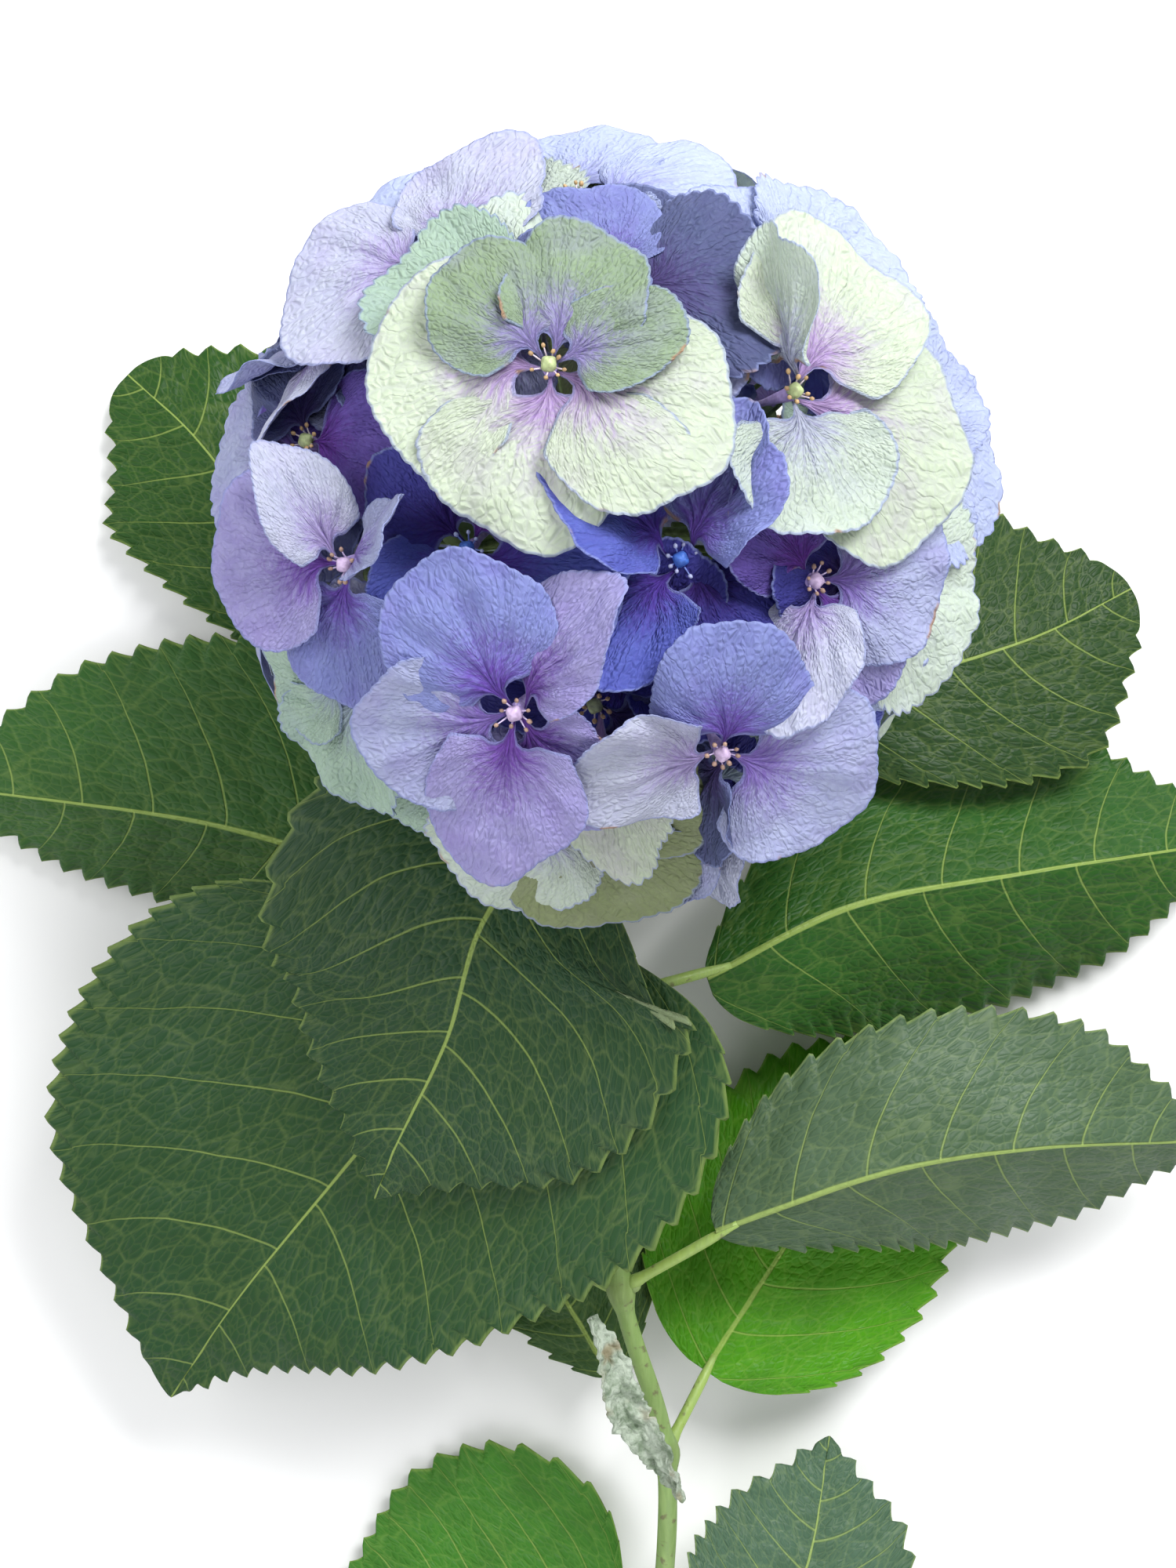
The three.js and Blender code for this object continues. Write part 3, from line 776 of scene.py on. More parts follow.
def sepal_on(skin, eye, facing, keep, clock, long, pot, bends, seed, rows, columns):
    """Adds one sepal that grows from the eye of a floret facing a given way, and hugs the head."""
    dice = random.Random(seed)
    own = {name: PLAIN[name] + spread * dice.uniform(-1, 1) for name, spread in UNEVEN.items()}
    bends = {**PLAIN, **own, **bends}
    c = math.radians(clock)
    if facing.z > 0.3:  # the clock is read from above
        out = Vector((math.sin(c), math.cos(c), 0))
        out.z = -out.dot(facing) / facing.z
    else:
        up = (Vector((0, 0, 1)) - facing * facing.z).normalized()
        out = up * math.cos(c) + facing.cross(up) * math.sin(c)
    out.normalize()
    rise, roll = math.radians(bends["rise"]), math.radians(bends["roll"])
    lifted = out * math.cos(rise) + facing * math.sin(rise)
    face = facing * math.cos(rise) - out * math.sin(rise)
    beside = face.cross(lifted)
    axes = np.array([lifted, beside * math.cos(roll) + face * math.sin(roll),
                     face * math.cos(roll) - beside * math.sin(roll)])
    shape = {k: bends[k] for k in ("wide", "cup", "side", "curl", "fold", "ruffle", "waves", "tip", "teeth")}
    grid, place = sepal_grid(long, seed=seed, rows=rows, columns=columns, **shape)
    sunk = bends["layer"] * LAYER_STEP - EYE_SINK
    start = np.array(eye) / MM + np.array(out) * CLAW_START + np.array(facing) * sunk
    spokes = start + grid @ axes - np.array(head) / MM
    far = np.linalg.norm(spokes, axis=-1, keepdims=True)
    level = (Vector(eye) - head).length / MM + sunk
    past = np.maximum(far - level, 0)
    grid = (spokes * (1 - past * (1 - keep) / far)) * MM + np.array(head)
    tint, core = (paint(code) for code in POTS[pot])
    shade = 1 + 0.12 * noise.noise(Vector((seed * 3.1, 0, 0)))
    thick = SEPAL_THICK * MM * (0.45 + 0.55 * smooth(0, 1.5, place[..., 2]))
    closed_sheet(skin, grid, thick, 0, place=place, tint=tint * shade, heart=core * shade)


# %% [markdown]
# ## Bud, stamens and stalk
# The middle of a floret is a closed four-lobed bud the size of a small pea, on a cup from which eight thin
# stamens stand. Small parts like these carry a lot: without them a floret looks like cut paper. They are
# plain skins, painted point by point, with one finish of their own.

# %% Finish of the eye
eye_finish = Finish("eye_skin")
eye_tint = eye_finish.fact("tint", "Color")
eye_where = eye_finish.node("TexCoord").outputs["Object"]
grain = eye_finish.noise(eye_where, 900.0, 3.0)
speckle = eye_finish.ramp(grain, 0.35, 0.7, 0.0, 0.45)
eye_tint = eye_finish.blend(speckle, eye_tint, rgba("#7f6a86"), "MULTIPLY")
eye_finish.put(eye_finish.skin.inputs["Base Color"], eye_tint)
eye_finish.put(eye_finish.skin.inputs["Roughness"], eye_finish.ramp(grain, 0.3, 0.7, 0.42, 0.62))
eye_finish.put(eye_finish.skin.inputs["Normal"], eye_finish.bump(grain, 0.0002, 0.5))
print("eye finish nodes:", len(eye_finish.tree.nodes))

# %% Bud, stamens and stalk
BUD_RADIUS = 1.5
STAMENS = 8
EYE_PAINTS = {  # bud, filament, anther
    "pale": ("#b9c98f", "#e2d3e0", "#c9a777"),
    "lilac": ("#cdb6d8", "#d9c9ec", "#a88a78"),
    "blue": ("#4f7fe0", "#8fa6f0", "#c3ccf4"),
}


def blob(skin, centre, axis, radius, tint, lobes=4, squat=1.0, rings=8, sides=16):
    """A small closed ball, lobed round its axis."""
    axis = unit(np.asarray(axis, float))
    side = unit(np.cross(axis, (0.31, 0.52, 0.79)))
    other = np.cross(axis, side)
    points = []
    for i in range(rings + 1):
        polar = math.pi * i / rings
        for k in range(sides):
            turn = 2 * math.pi * k / sides
            lobed = radius * (1 + 0.09 * math.sin(polar) * math.cos(lobes * turn))
            flat = side * math.cos(turn) + other * math.sin(turn)
            points.append(centre + lobed * (flat * math.sin(polar) + axis * math.cos(polar) * squat))
    points = np.array(points).reshape(rings + 1, sides, 3)
    ends = np.array([points[0].mean(0), points[-1].mean(0)])
    body = points[1:-1].reshape(-1, 3)
    faces = []
    last = 1 + len(body)
    for k in range(sides):
        beside = (k + 1) % sides
        faces.append((0, 1 + k, 1 + beside))
        faces.append((last, last - sides + beside, last - sides + k))
        for i in range(rings - 2):
            a, b = 1 + i * sides + k, 1 + i * sides + beside
            faces.append((a, a + sides, b + sides, b))
    skin.add(np.concatenate([ends[:1], body, ends[1:]]) * MM, faces, 1, tint=tint)


def eye_on(skin, eye, facing, paints, dice, fine):
    """Adds the bud and its stamens to a floret."""
    bud, filament, anther = (paint(code) for code in EYE_PAINTS[paints])
    middle = np.array(eye) / MM
    facing = np.array(facing)
    rings, sides = (8, 20) if fine else (5, 8)
    blob(skin, middle - facing * 0.9, facing, BUD_RADIUS, bud, rings=rings, sides=sides)
    side = unit(np.cross(facing, (0.2, 0.9, 0.3)))
    other = np.cross(facing, side)
    for k in range(STAMENS):
        turn = 2 * math.pi * (k + dice.uniform(-0.3, 0.3)) / STAMENS
        away = side * math.cos(turn) + other * math.sin(turn)
        long = dice.uniform(1.7, 3.0)
        spread = dice.uniform(0.35, 0.9)
        foot = middle + away * 1.2 - facing * 1.6
        shares = np.linspace(0, 1, 4)[:, None]
        line = foot + away * long * spread * shares ** 1.4 + facing * long * 0.8 * shares
        tube(skin, line * MM, np.linspace(0.2, 0.12, 4) * MM, 5 if fine else 3, 1, tint=filament)
        shade = dice.uniform(0.75, 1.15)
        blob(skin, line[-1], away + facing, dice.uniform(0.38, 0.52), anther * shade, lobes=2,
             squat=1.2, rings=4, sides=6 if fine else 4)


def stalk_on(skin, foot, eye, facing, fine):
    """Adds the thin stalk from the branch to the cup under the bud."""
    start, end = np.array(foot) / MM, np.array(eye) / MM - np.array(facing) * 2.2
    shares = np.linspace(0, 1, 9)[:, None]
    bow = 4 * shares * (1 - shares) * unit(np.cross(end - start, (0.3, 0.8, 0.5))) * 0.8
    line = start + (end - start) * shares + bow
    radii = 0.42 + 0.3 * shares[:, 0] ** 2 + 0.75 * smooth(0.86, 1.0, shares[:, 0])
    green, flush = paint("#b9c98a"), paint("#a48fce")
    tube(skin, line * MM, radii * MM, 10 if fine else 6, 1, tint=green + (flush - green) * shares)


trial = Skin()
blob(trial, np.zeros(3), (0, 0, 1), BUD_RADIUS, (0, 0, 0))
print("faces of a bud:", len(trial.faces))

# %% [markdown]
# ## Building every floret
# The solid of each floret gives its place: its furthest corner is the tip of the eye, and its nearest one
# is the foot of the stalk. Florets on the sides turn up to the light, as on a real head. Those underneath
# have no plan, so seeded dice vary four broad sepals in faded paints.

# %% A floret in the shade
LONGEST_SHADED = 34  # mm


def shaded_sepals(number, size, dice):
    """Four broad sepals for a floret underneath the head."""
    pots = [SHADED_POTS[(number + k) % len(SHADED_POTS)] for k in range(4)]
    turn = dice.uniform(0, 90)
    sepals = []
    for k in range(4):
        bends = dict(
            layer=k % 2, rise=dice.uniform(-8, 12), roll=dice.uniform(-16, 16),
            wide=dice.uniform(1.2, 1.4), cup=dice.uniform(-0.22, -0.05), side=dice.uniform(-0.15, 0.1),
            fold=dice.uniform(-0.05, 0.12), curl=dice.uniform(-0.1, 0.06),
            ruffle=dice.uniform(0.02, 0.06), teeth=dice.choice((0.3, 0.5, 1.1)),
        )
        reach = min(size, LONGEST_SHADED) * dice.uniform(0.98, 1.14)
        sepals.append((turn + 90 * k + dice.uniform(-9, 9), reach, pots[k], bends))
    return sepals


print("sepals of a shaded floret:", len(shaded_sepals(1, 30, random.Random(1))))

# %% Make the florets
TURN_UP = 0.45  # how much the florets on the sides turn their faces up to the light
LEAST_UP = 0.15  # florets that face lower than this don't turn up
EYE_ROOM = 0.0014  # metres that the tip of a floret's eye stays above the floor
SHADED_FLAT = 0.6  # as KEPT_FLAT, for florets underneath
FINE_GRID, PLAIN_GRID = (14, 82), (9, 43)  # rows and columns of a sepal
EYES_OF = {
    "floret_03": "lilac", "floret_04": "lilac", "floret_05": "lilac", "floret_08": "lilac",
    "floret_06": "blue", "floret_07": "blue", "floret_09": "blue", "floret_10": "blue",
}
florets = sorted(name for name in frame["nodes"] if name.startswith("floret_"))
petal_triangles = 0
for number, name in enumerate(florets, 1):
    corners = [Vector(v.co) for v in frame["nodes"][name].data.vertices]
    bud_tip = max(corners, key=lambda p: (p - head).length)
    foot = min(corners, key=lambda p: (p - head).length)
    outer = [p for p in corners if (p - head).length > 0.7 * (bud_tip - head).length]
    size = max((p - bud_tip).length for p in outer) / MM
    dice = random.Random(number)
    fine = name in HAND_SET
    if fine:
        plan, sepals = HAND_SET[name]
        if plan:
            right, away, reach = plan
            up = math.sqrt(reach ** 2 - right ** 2 - away ** 2)
            bud_tip = head + Vector((right, away, up)) * MM
    else:
        sepals = shaded_sepals(number, size, dice)
    bud_tip = Vector((bud_tip.x, bud_tip.y, max(bud_tip.z, EYE_ROOM)))
    grown = (bud_tip - head).normalized()
    facing = (grown + Vector((0, 0, TURN_UP if grown.z > LEAST_UP else 0))).normalized()
    keep = KEPT_FLAT if fine else SHADED_FLAT
    rows, columns = FINE_GRID if fine else PLAIN_GRID
    skin = Skin()
    for k, (clock, long, pot, bends) in enumerate(sepals):
        sepal_on(skin, bud_tip, facing, keep, clock, long, pot, bends, number * 7 + k, rows, columns)
    eye_on(skin, bud_tip, facing, EYES_OF.get(name, "pale"), dice, fine)
    stalk_on(skin, foot, bud_tip, facing, fine)
    made = piece_from(skin, name + "_sepals", [sepal.material, eye_finish.material], "sepal", name)
    petal_triangles += triangles(made)
print("florets:", len(florets), "triangles:", petal_triangles)

# %% [markdown]
# ## Lines through a few points
# The stem and the leaves follow the same routes as their solids: smooth lines through a few points. The
# line is a centripetal Catmull-Rom spline, which never loops between uneven points.

# %% Smooth line


class Line:
    """A smooth line through points, walked by its share of the whole length."""

    def __init__(self, points, steps=60):
        p = np.array(points, float)
        p = np.concatenate([[2 * p[0] - p[1]], p, [2 * p[-1] - p[-2]]])
        walk = []
        for i in range(1, len(p) - 2):
            walk += [self.spot(p[i - 1:i + 3], s / steps) for s in range(steps)]
        self.walk = np.array(walk + [p[-2]])
        gaps = np.linalg.norm(np.diff(self.walk, axis=0), axis=1)
        self.shares = np.concatenate([[0], np.cumsum(gaps)]) / gaps.sum()
        self.long = gaps.sum()

    @staticmethod
    def spot(p, share):
        knots = np.concatenate([[0], np.cumsum(np.linalg.norm(np.diff(p, axis=0), axis=1) ** 0.5)])
        t = knots[1] + share * (knots[2] - knots[1])
        layer, gap = list(p), 1
        while len(layer) > 1:
            layer = [
                a + (b - a) * (t - knots[k]) / (knots[k + gap] - knots[k]) if len(layer) > 2
                else a + (b - a) * share
                for k, (a, b) in enumerate(zip(layer, layer[1:]))
            ]
            gap += 1
        return layer[0]

    def __call__(self, share):
        return np.stack([np.interp(share, self.shares, self.walk[:, k]) for k in range(3)], axis=-1)

    def ahead(self, share):
        return unit(self(np.minimum(share + 0.004, 1)) - self(np.maximum(share - 0.004, 0)))


print("length of a straight line of 10:", round(Line([(0, 0, 0), (4, 0, 0), (10, 0, 0)]).long, 3))

# %% [markdown]
# ## Branches inside the head
# The stem ends in a knob, and six short green branches carry the florets' stalks. Little of them shows, so
# one joined piece is enough: tapered tubes that swell where the stalks spring off.

# %% Branches
BRANCHES = ((330, 24), (155, 30), (268, 80), (88, 80), (2, 88), (0, 152))  # bearing and lean
BRANCH_REACH = 30.0

woody = Finish("stem_skin")
stem_tint = woody.fact("tint", "Color")
stem_where = woody.node("TexCoord").outputs["Object"]
fleck = woody.noise(stem_where, 420.0, 4.0)
stripe = woody.node("Mapping")
woody.put(stripe.inputs["Vector"], stem_where)
stripe.inputs["Scale"].default_value = (1.0, 0.08, 1.0)
fibre = woody.noise(stripe.outputs[0], 900.0, 3.0)
stem_tint = woody.blend(woody.ramp(fibre, 0.35, 0.7, 0.0, 0.5), stem_tint, rgba("#8ea765"))
stem_tint = woody.blend(woody.ramp(fleck, 0.6, 0.7, 0.0, 0.65), stem_tint, rgba("#5d4a3c"))
woody.put(woody.skin.inputs["Base Color"], stem_tint)
woody.put(woody.skin.inputs["Roughness"], woody.ramp(fibre, 0.3, 0.7, 0.42, 0.62))
woody.put(woody.skin.inputs["Normal"], woody.bump(woody.math("ADD", fibre, fleck), 0.0003, 0.6))

skin = Skin()
for bearing, lean in BRANCHES:
    way = np.array(direction(bearing, lean))
    shares = np.linspace(0, 1, 14)
    bend = np.outer(np.sin(shares * np.pi), unit(np.cross(way, (0.2, 0.5, 0.8)))) * 0.7
    line = np.array(at(0, 0, HEAD_HEIGHT)) / MM + np.outer(shares * (BRANCH_REACH + 3), way) + bend
    radii = 1.7 - 0.5 * shares + 2.2 * np.exp(-((shares - 0.9) / 0.09) ** 2)
    radii[-1] = 0.8
    tube(skin, line * MM, radii * MM, 16, tint=paint("#8fa866"))
branch_nodes = sorted(name for name in frame["nodes"] if name.startswith("branch_"))
branches = piece_from(skin, "head_branches", [woody.material], "stalk", *branch_nodes)
print("branches:", len(BRANCHES), "for nodes:", len(branch_nodes), "triangles:", triangles(branches))

# %% [markdown]
# ## Small buds between the florets
# Under its showy florets a mophead is filled with small closed flowers on thin green stalks. They show as
# dark points in the gaps. They are spread evenly over a sphere by the golden angle, and each is a thin tube
# with a ball on it, in the finish of the eyes.

# %% Small buds
SMALL_BUDS = 150
BUD_SHELL = (40, 56)  # mm from the middle of the head, nearest and furthest

skin = Skin()
dice = random.Random(5)
centre = np.array(head) / MM
for k in range(SMALL_BUDS):
    height = 1 - 2 * (k + 0.5) / SMALL_BUDS
    turn = k * math.pi * (3 - math.sqrt(5))
    flat = math.sqrt(1 - height ** 2)
    way = np.array([flat * math.cos(turn), flat * math.sin(turn), height])
    far = dice.uniform(*BUD_SHELL)
    shares = np.linspace(0.35, 1, 6)[:, None]
    bow = unit(np.cross(way, (0.4, 0.2, 0.9))) * np.sin(shares * np.pi) * dice.uniform(-4, 4)
    line = centre + way * far * shares + bow
    tube(skin, line * MM, np.linspace(0.8, 0.45, 6) * MM, 6, 1, tint=paint("#7f9556"))
    tone = paint("#6c78b8") * dice.uniform(0.6, 1.1) if k % 3 else paint("#8da06a")
    blob(skin, line[-1], way, dice.uniform(1.3, 2.1), tone, lobes=4, rings=6, sides=10)
small_buds = piece_from(skin, "small_buds", [sepal.material, eye_finish.material], "stalk")
print("small buds:", SMALL_BUDS, "triangles:", triangles(small_buds))

# %% [markdown]
# ## The stem
# A round green stem runs from the head to its cut end. It swells where leaves grow, carries a few side buds
# and has small corky spots. A smooth tube along the stem's own line, with its radius worked out from the
# joints, does it.

# %% Stem
STEM_ROUTE = [
    (0, 0, 74), (0, -46, 65), (-2, -76, 58), (0, -104, 50), (4, -162, 36), (14, -200, 28), (12, -262, 15),
    (10, -352, 2.8),
]
STEM_RADIUS = 1.9
JOINT_RADIUS = 3.1
JOINT_LENGTH = 6.0
BUD_PROFILE = (1.0, 1.3, 1.3, 1.1, 0.8, 0.45, 0.1)  # mm, its radius from foot to tip
JOINTS = (-52, -66, -82, -97, -162, -200, -262)  # where leaves grow, by their y
BUDS = ((-162, 20, 1), (-200, 160, 1), (-262, 90, 0.9), (-97, 60, 1))  # joint, turn round the stem, size

stem_line = Line(STEM_ROUTE)
shares = np.linspace(0, 1, 260)
middle = stem_line(shares)
near = np.abs(middle[:, 1:2] - np.array(JOINTS)[None, :]).min(axis=1)
swell = (JOINT_RADIUS - STEM_RADIUS) * smooth(0, 1, 1 - near / JOINT_LENGTH)
radii = STEM_RADIUS + swell + 0.35 * shares
radii[:8] = np.maximum(radii[:8], np.linspace(3.4, 2.2, 8))
wobble = np.array([noise.noise(Vector((s * 22, 3.3, 0))) for s in shares])
radii = radii * (1 + 0.05 * wobble)
radii[-1] *= 0.9
young, old = paint("#86a357"), paint("#6f8a50")
tints = young + (old - young) * smooth(0.2, 0.8, shares)[:, None]
tints[near < 2.2] *= (0.88, 0.84, 0.8)
tints[-2:] = paint("#c9cf9c")
skin = Skin()


def stem_at(y):
    """The stem's middle point at a given y, in millimetres."""
    return np.array([np.interp(-y, -middle[:, 1], middle[:, k]) for k in range(3)])


def placed(points):
    """Route millimetres in the frame's metres."""
    return np.array(at(0, 0, 0)) + np.asarray(points) * MM


tube(skin, placed(middle), radii * MM, 24, tint=tints)
for joint, turn, size in BUDS:  # small side buds in the leaves' armpits
    a = math.radians(turn)
    start = stem_at(joint) + np.array([math.cos(a), 0, math.sin(a)]) * 2.6
    tip = start + np.array([math.cos(a) * 2.5, 3.5, math.sin(a) * 2.5]) * size
    line = start + (tip - start) * np.linspace(0, 1, 7)[:, None]
    tube(skin, placed(line), np.array(BUD_PROFILE) * size * MM, 10, tint=paint("#7c8f55"))
stem = piece_from(skin, "stem_skin", [woody.material], "stem", "stem")
print("stem triangles:", triangles(stem))
from_corner = placed(middle[-1]) - np.array(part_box("stem")[0])
print("stem length:", round(stem_line.long), "mm; its end from the solid's low corner:", from_corner.round(4))

# %% [markdown]
# ## The leaves' finish
# Seen from above a leaf is deep green and a little glossy, and its veins are yellow-green and sunk. Side
# veins leave the midrib in pairs and bow toward the tip, and a net of fine ones fills the gaps. The pattern
# is worked out from each point's place: how far across the leaf, how far along, and its size.

# %% Leaf finish
VEINS = 7.5  # side veins for the leaf's length
VEIN_BOW = 0.75  # how far a side vein moves toward the tip for each millimetre that it runs outward
VEIN_CURVE = 0.35  # above 0, it bows toward the tip more and more

leaf = Finish("leaf_skin")
side, along, under = leaf.parts(leaf.fact("place"))[:3]
half, long, seed = leaf.parts(leaf.fact("heart", "Color"))[:3]  # half width and length, in decimetres
green = leaf.fact("tint", "Color")
leaf_where = leaf.node("TexCoord").outputs["Object"]
aside = leaf.math("ABSOLUTE", side)
wander = leaf.math("MULTIPLY", leaf.math("SUBTRACT", leaf.noise(leaf_where, 45.0), 0.5), 0.016)
bowed = leaf.math("MULTIPLY", leaf.math("POWER", aside, 1.0 + VEIN_CURVE), VEIN_BOW)
bowed = leaf.math("MULTIPLY", bowed, leaf.math("DIVIDE", half, long))
row = leaf.math("SUBTRACT", leaf.math("ADD", along, wander), bowed)
stagger = leaf.math("MULTIPLY", leaf.math("SIGN", side), 0.13)
row = leaf.math("ADD", leaf.math("MULTIPLY", row, VEINS), stagger)
off_row = leaf.math("MULTIPLY", leaf.math("PINGPONG", row, 0.5), leaf.math("DIVIDE", long, VEINS))
off_mid = leaf.math("MULTIPLY", aside, half)
thin = leaf.ramp(aside, 0.0, 1.0, 0.0032, 0.0018)
side_vein = leaf.ramp(leaf.math("DIVIDE", off_row, thin), 0.4, 1.3, 1.0, 0.0)
mid_width = leaf.ramp(along, 0.0, 1.0, 0.0068, 0.0022)
mid_vein = leaf.ramp(leaf.math("DIVIDE", off_mid, mid_width), 0.55, 1.15, 1.0, 0.0)

# %% Net and colours of the leaves
offset = leaf.math("MULTIPLY", side, 0.05)
flat = leaf.join(leaf.math("MULTIPLY", side, half), leaf.math("MULTIPLY", row, 0.11), offset)
net = leaf.cells(flat, 19.0)
fine_net = leaf.cells(flat, 62.0)
net_vein = leaf.math("MULTIPLY", leaf.ramp(net, 0.0, 0.07, 1.0, 0.0), 0.5)
all_veins = leaf.math("MAXIMUM", mid_vein, side_vein)
mottle = leaf.noise(leaf_where, 55.0, 4.0)
green = leaf.blend(leaf.ramp(mottle, 0.3, 0.72, 0.0, 0.35), green, rgba("#2c4a1d"), "MIX")
lit = leaf.blend(1.0, green, rgba("#b4c468"), "SCREEN")
green = leaf.blend(leaf.ramp(fine_net, 0.0, 0.12, 0.05, 0.0), green, lit)
green = leaf.blend(leaf.math("MULTIPLY", net_vein, 0.16), green, lit)
vein_paint = leaf.blend(0.45, rgba("#8fac55"), lit)
green = leaf.blend(leaf.math("MULTIPLY", side_vein, leaf.ramp(aside, 0.4, 1.0, 0.5, 0.3)), green, vein_paint)
green = leaf.blend(leaf.math("MULTIPLY", mid_vein, 0.8), green, vein_paint)
rim = leaf.ramp(aside, 0.975, 0.995, 0.0, 0.4)
green = leaf.blend(rim, green, vein_paint)
pale = leaf.blend(0.55, green, rgba("#a9b98c"))
green = leaf.blend(under, green, pale)
leaf.put(leaf.skin.inputs["Base Color"], green)
fine_quilt = leaf.math("MULTIPLY", leaf.ramp(fine_net, 0.0, 0.3), 0.45)
quilt = leaf.math("ADD", leaf.ramp(net, 0.0, 0.35), fine_quilt)
quilt = leaf.math("SUBTRACT", quilt, leaf.math("MULTIPLY", all_veins, 0.9))
leaf.put(leaf.skin.inputs["Normal"], leaf.bump(quilt, 0.0004, 0.7))
leaf.put(leaf.skin.inputs["Roughness"], leaf.ramp(mottle, 0.3, 0.7, 0.4, 0.5))
leaf.skin.inputs["Specular IOR Level"].default_value = 0.22
leaf.see_through(leaf.blend(0.5, green, rgba("#7fa82c")), 0.22)
print("leaf finish nodes:", len(leaf.tree.nodes))

# %% [markdown]
# ## The leaves' shape
# A leaf's stalk leaves the stem at a joint, and the blade follows its own route. Each half has its own
# width, fold and droop, so that a leaf may be curled or lie on its side. On top of that the margin gets
# hooked teeth, rows are spaced by the margin's length so that all teeth are alike, and the blade swells
# between its side veins.

# %% Leaf routes
# joint, route from foot to tip, then width, widest place, fold and droop of the left and the right half
LEAVES = {
    "leaf_upper_front": (
        -66, [(-12, -61, 73), (-25, -80, 78), (-32, -103, 76), (-43, -126, 68), (-48, -138, 61)],
        (48, 0.4, -0.02, 0.16), (45, 0.25, -0.02, 0.16), "#2d4c33",
    ),
    "leaf_upper_left": (
        -52, [(-46, -34, 14), (-68, -7, 11), (-93, 28, 8), (-110, 44, 4)],
        (29, 0.75, 0.05, 0.1), (32, 0.7, -0.1, 0.1), "#27501c",
    ),
    "leaf_upper_right": (
        -52, [(29, -45, 22), (44, -36, 24), (70, -27, 24), (100, -17, 16), (122, -6, 8)],
        (37, 0.65, -0.15, 0.1), (31, 0.7, 0.1, 0.1), "#2a4724",
    ),
    "leaf_middle_front": (
        -82, [(-16, -76, 66), (-27, -98, 65), (-56, -134, 53), (-80, -164, 39), (-97, -189, 22)],
        (60, 0.24, 0, 0.05), (69, 0.5, -0.05, 0.12), "#2d5030",
    ),
    "leaf_middle_left": (
        -97, [(-36, -78, 38), (-61, -67, 38), (-86, -60, 32), (-130, -54, 18), (-160, -51, 5)],
        (28, 0.4, -0.9, 0.1), (45, 0.4, -0.35, 0.1), "#34602a",
    ),
    "leaf_middle_right": (
        -97, [(22, -93, 46), (54, -78, 38), (94, -71, 26), (131, -66, 14), (152, -63, 4)],
        (37, 0.6, -0.7, 0.1), (35, 0.4, -0.5, 0.1), "#2b5c20",
    ),
    "leaf_lower_right": (
        -162, [(24, -148, 44), (62, -134, 49), (92, -130, 44), (122, -130, 34), (140, -131, 24)],
        (31, 0.45, -0.2, 0.1), (30, 0.5, -0.9, 0.1), "#536b52",
    ),
    "leaf_lower_left": (
        -162, [(-18, -155, 27), (-50, -149, 18), (-88, -147, 9), (-121, -151, 4)],
        (18, 0.5, 0, 0.1), (26, 0.45, 0, 0.1), "#34592b",
    ),
    "leaf_base_right": (
        -200, [(23, -184, 19), (38, -162, 15), (57, -134, 11), (77, -106, 5)],
        (33, 0.4, -0.1, 0.1), (35, 0.4, 0, 0.1), "#4f9a12",
    ),
    "leaf_base_left": (
        -200, [(2, -186, 15), (-8, -170, 11), (-22, -149, 7), (-36, -126, 3)],
        (15, 0.5, 0, 0.1), (25, 0.45, 0, 0.1), "#3c5a33",
    ),
    "leaf_foot_right": (
        -262, [(25, -258, 20), (36, -246, 24), (46, -227, 22), (52, -200, 13)],
        (25, 0.45, 0.1, 0.1), (25, 0.45, 0.1, 0.1), "#526f5a",
    ),
    "leaf_foot_left": (
        -262, [(1, -256, 12), (-16, -250, 11), (-38, -247, 8), (-66, -245, 3)],
        (42, 0.42, 0, 0.12), (44, 0.42, 0, 0.12), "#43822a",
    ),
}
BLADE_POINT = 1.3  # the larger, the more pointed the blade's two ends
DRAWN_TIP = 0.5  # how much narrower the tip is drawn out
HEAD_ROOM = 75.5  # mm that leaves keep from the middle of the head where they pass under it
TABLE_CLEARANCE = 0.6
PETIOLE_RADIUS = 1.2
TOOTH_PITCH = 6.2  # mm along the margin
TOOTH_DEPTH = 2.6
TOOTH_ROWS = 6
LEAF_THICK = 0.5
NO_CEILING = 1000.0
SWELL = 0.75  # mm that the blade rises between two side veins

# %% Leaf builder


def half_width(half, t):
    """How wide one half of a blade is at t, from its foot (0) to its tip (1)."""
    width, widest = half[:2]
    foot, tip = BLADE_POINT * widest, BLADE_POINT * (1 - widest)
    drawn = 1 - DRAWN_TIP * smooth(0.72, 0.98, t)
    return drawn * width * t ** foot * (1 - t) ** tip / (widest ** foot * (1 - widest) ** tip)


def blade_rows(line, left, right):
    """Places along the blade, spaced by the length of its margin, and how far each is through its tooth."""
    t = np.linspace(0, 1, 800)
    width = (half_width(left, t) + half_width(right, t)) / 2
    margin = np.concatenate([[0], np.cumsum(np.hypot(np.diff(t) * line.long, np.diff(width)))])
    teeth = round(margin[-1] / TOOTH_PITCH)
    rows = np.arange(teeth * TOOTH_ROWS + 1)
    shares = np.interp(rows / rows[-1] * margin[-1], margin, t)
    return np.clip(shares, 0.004, 0.999), (rows % TOOTH_ROWS) / TOOTH_ROWS


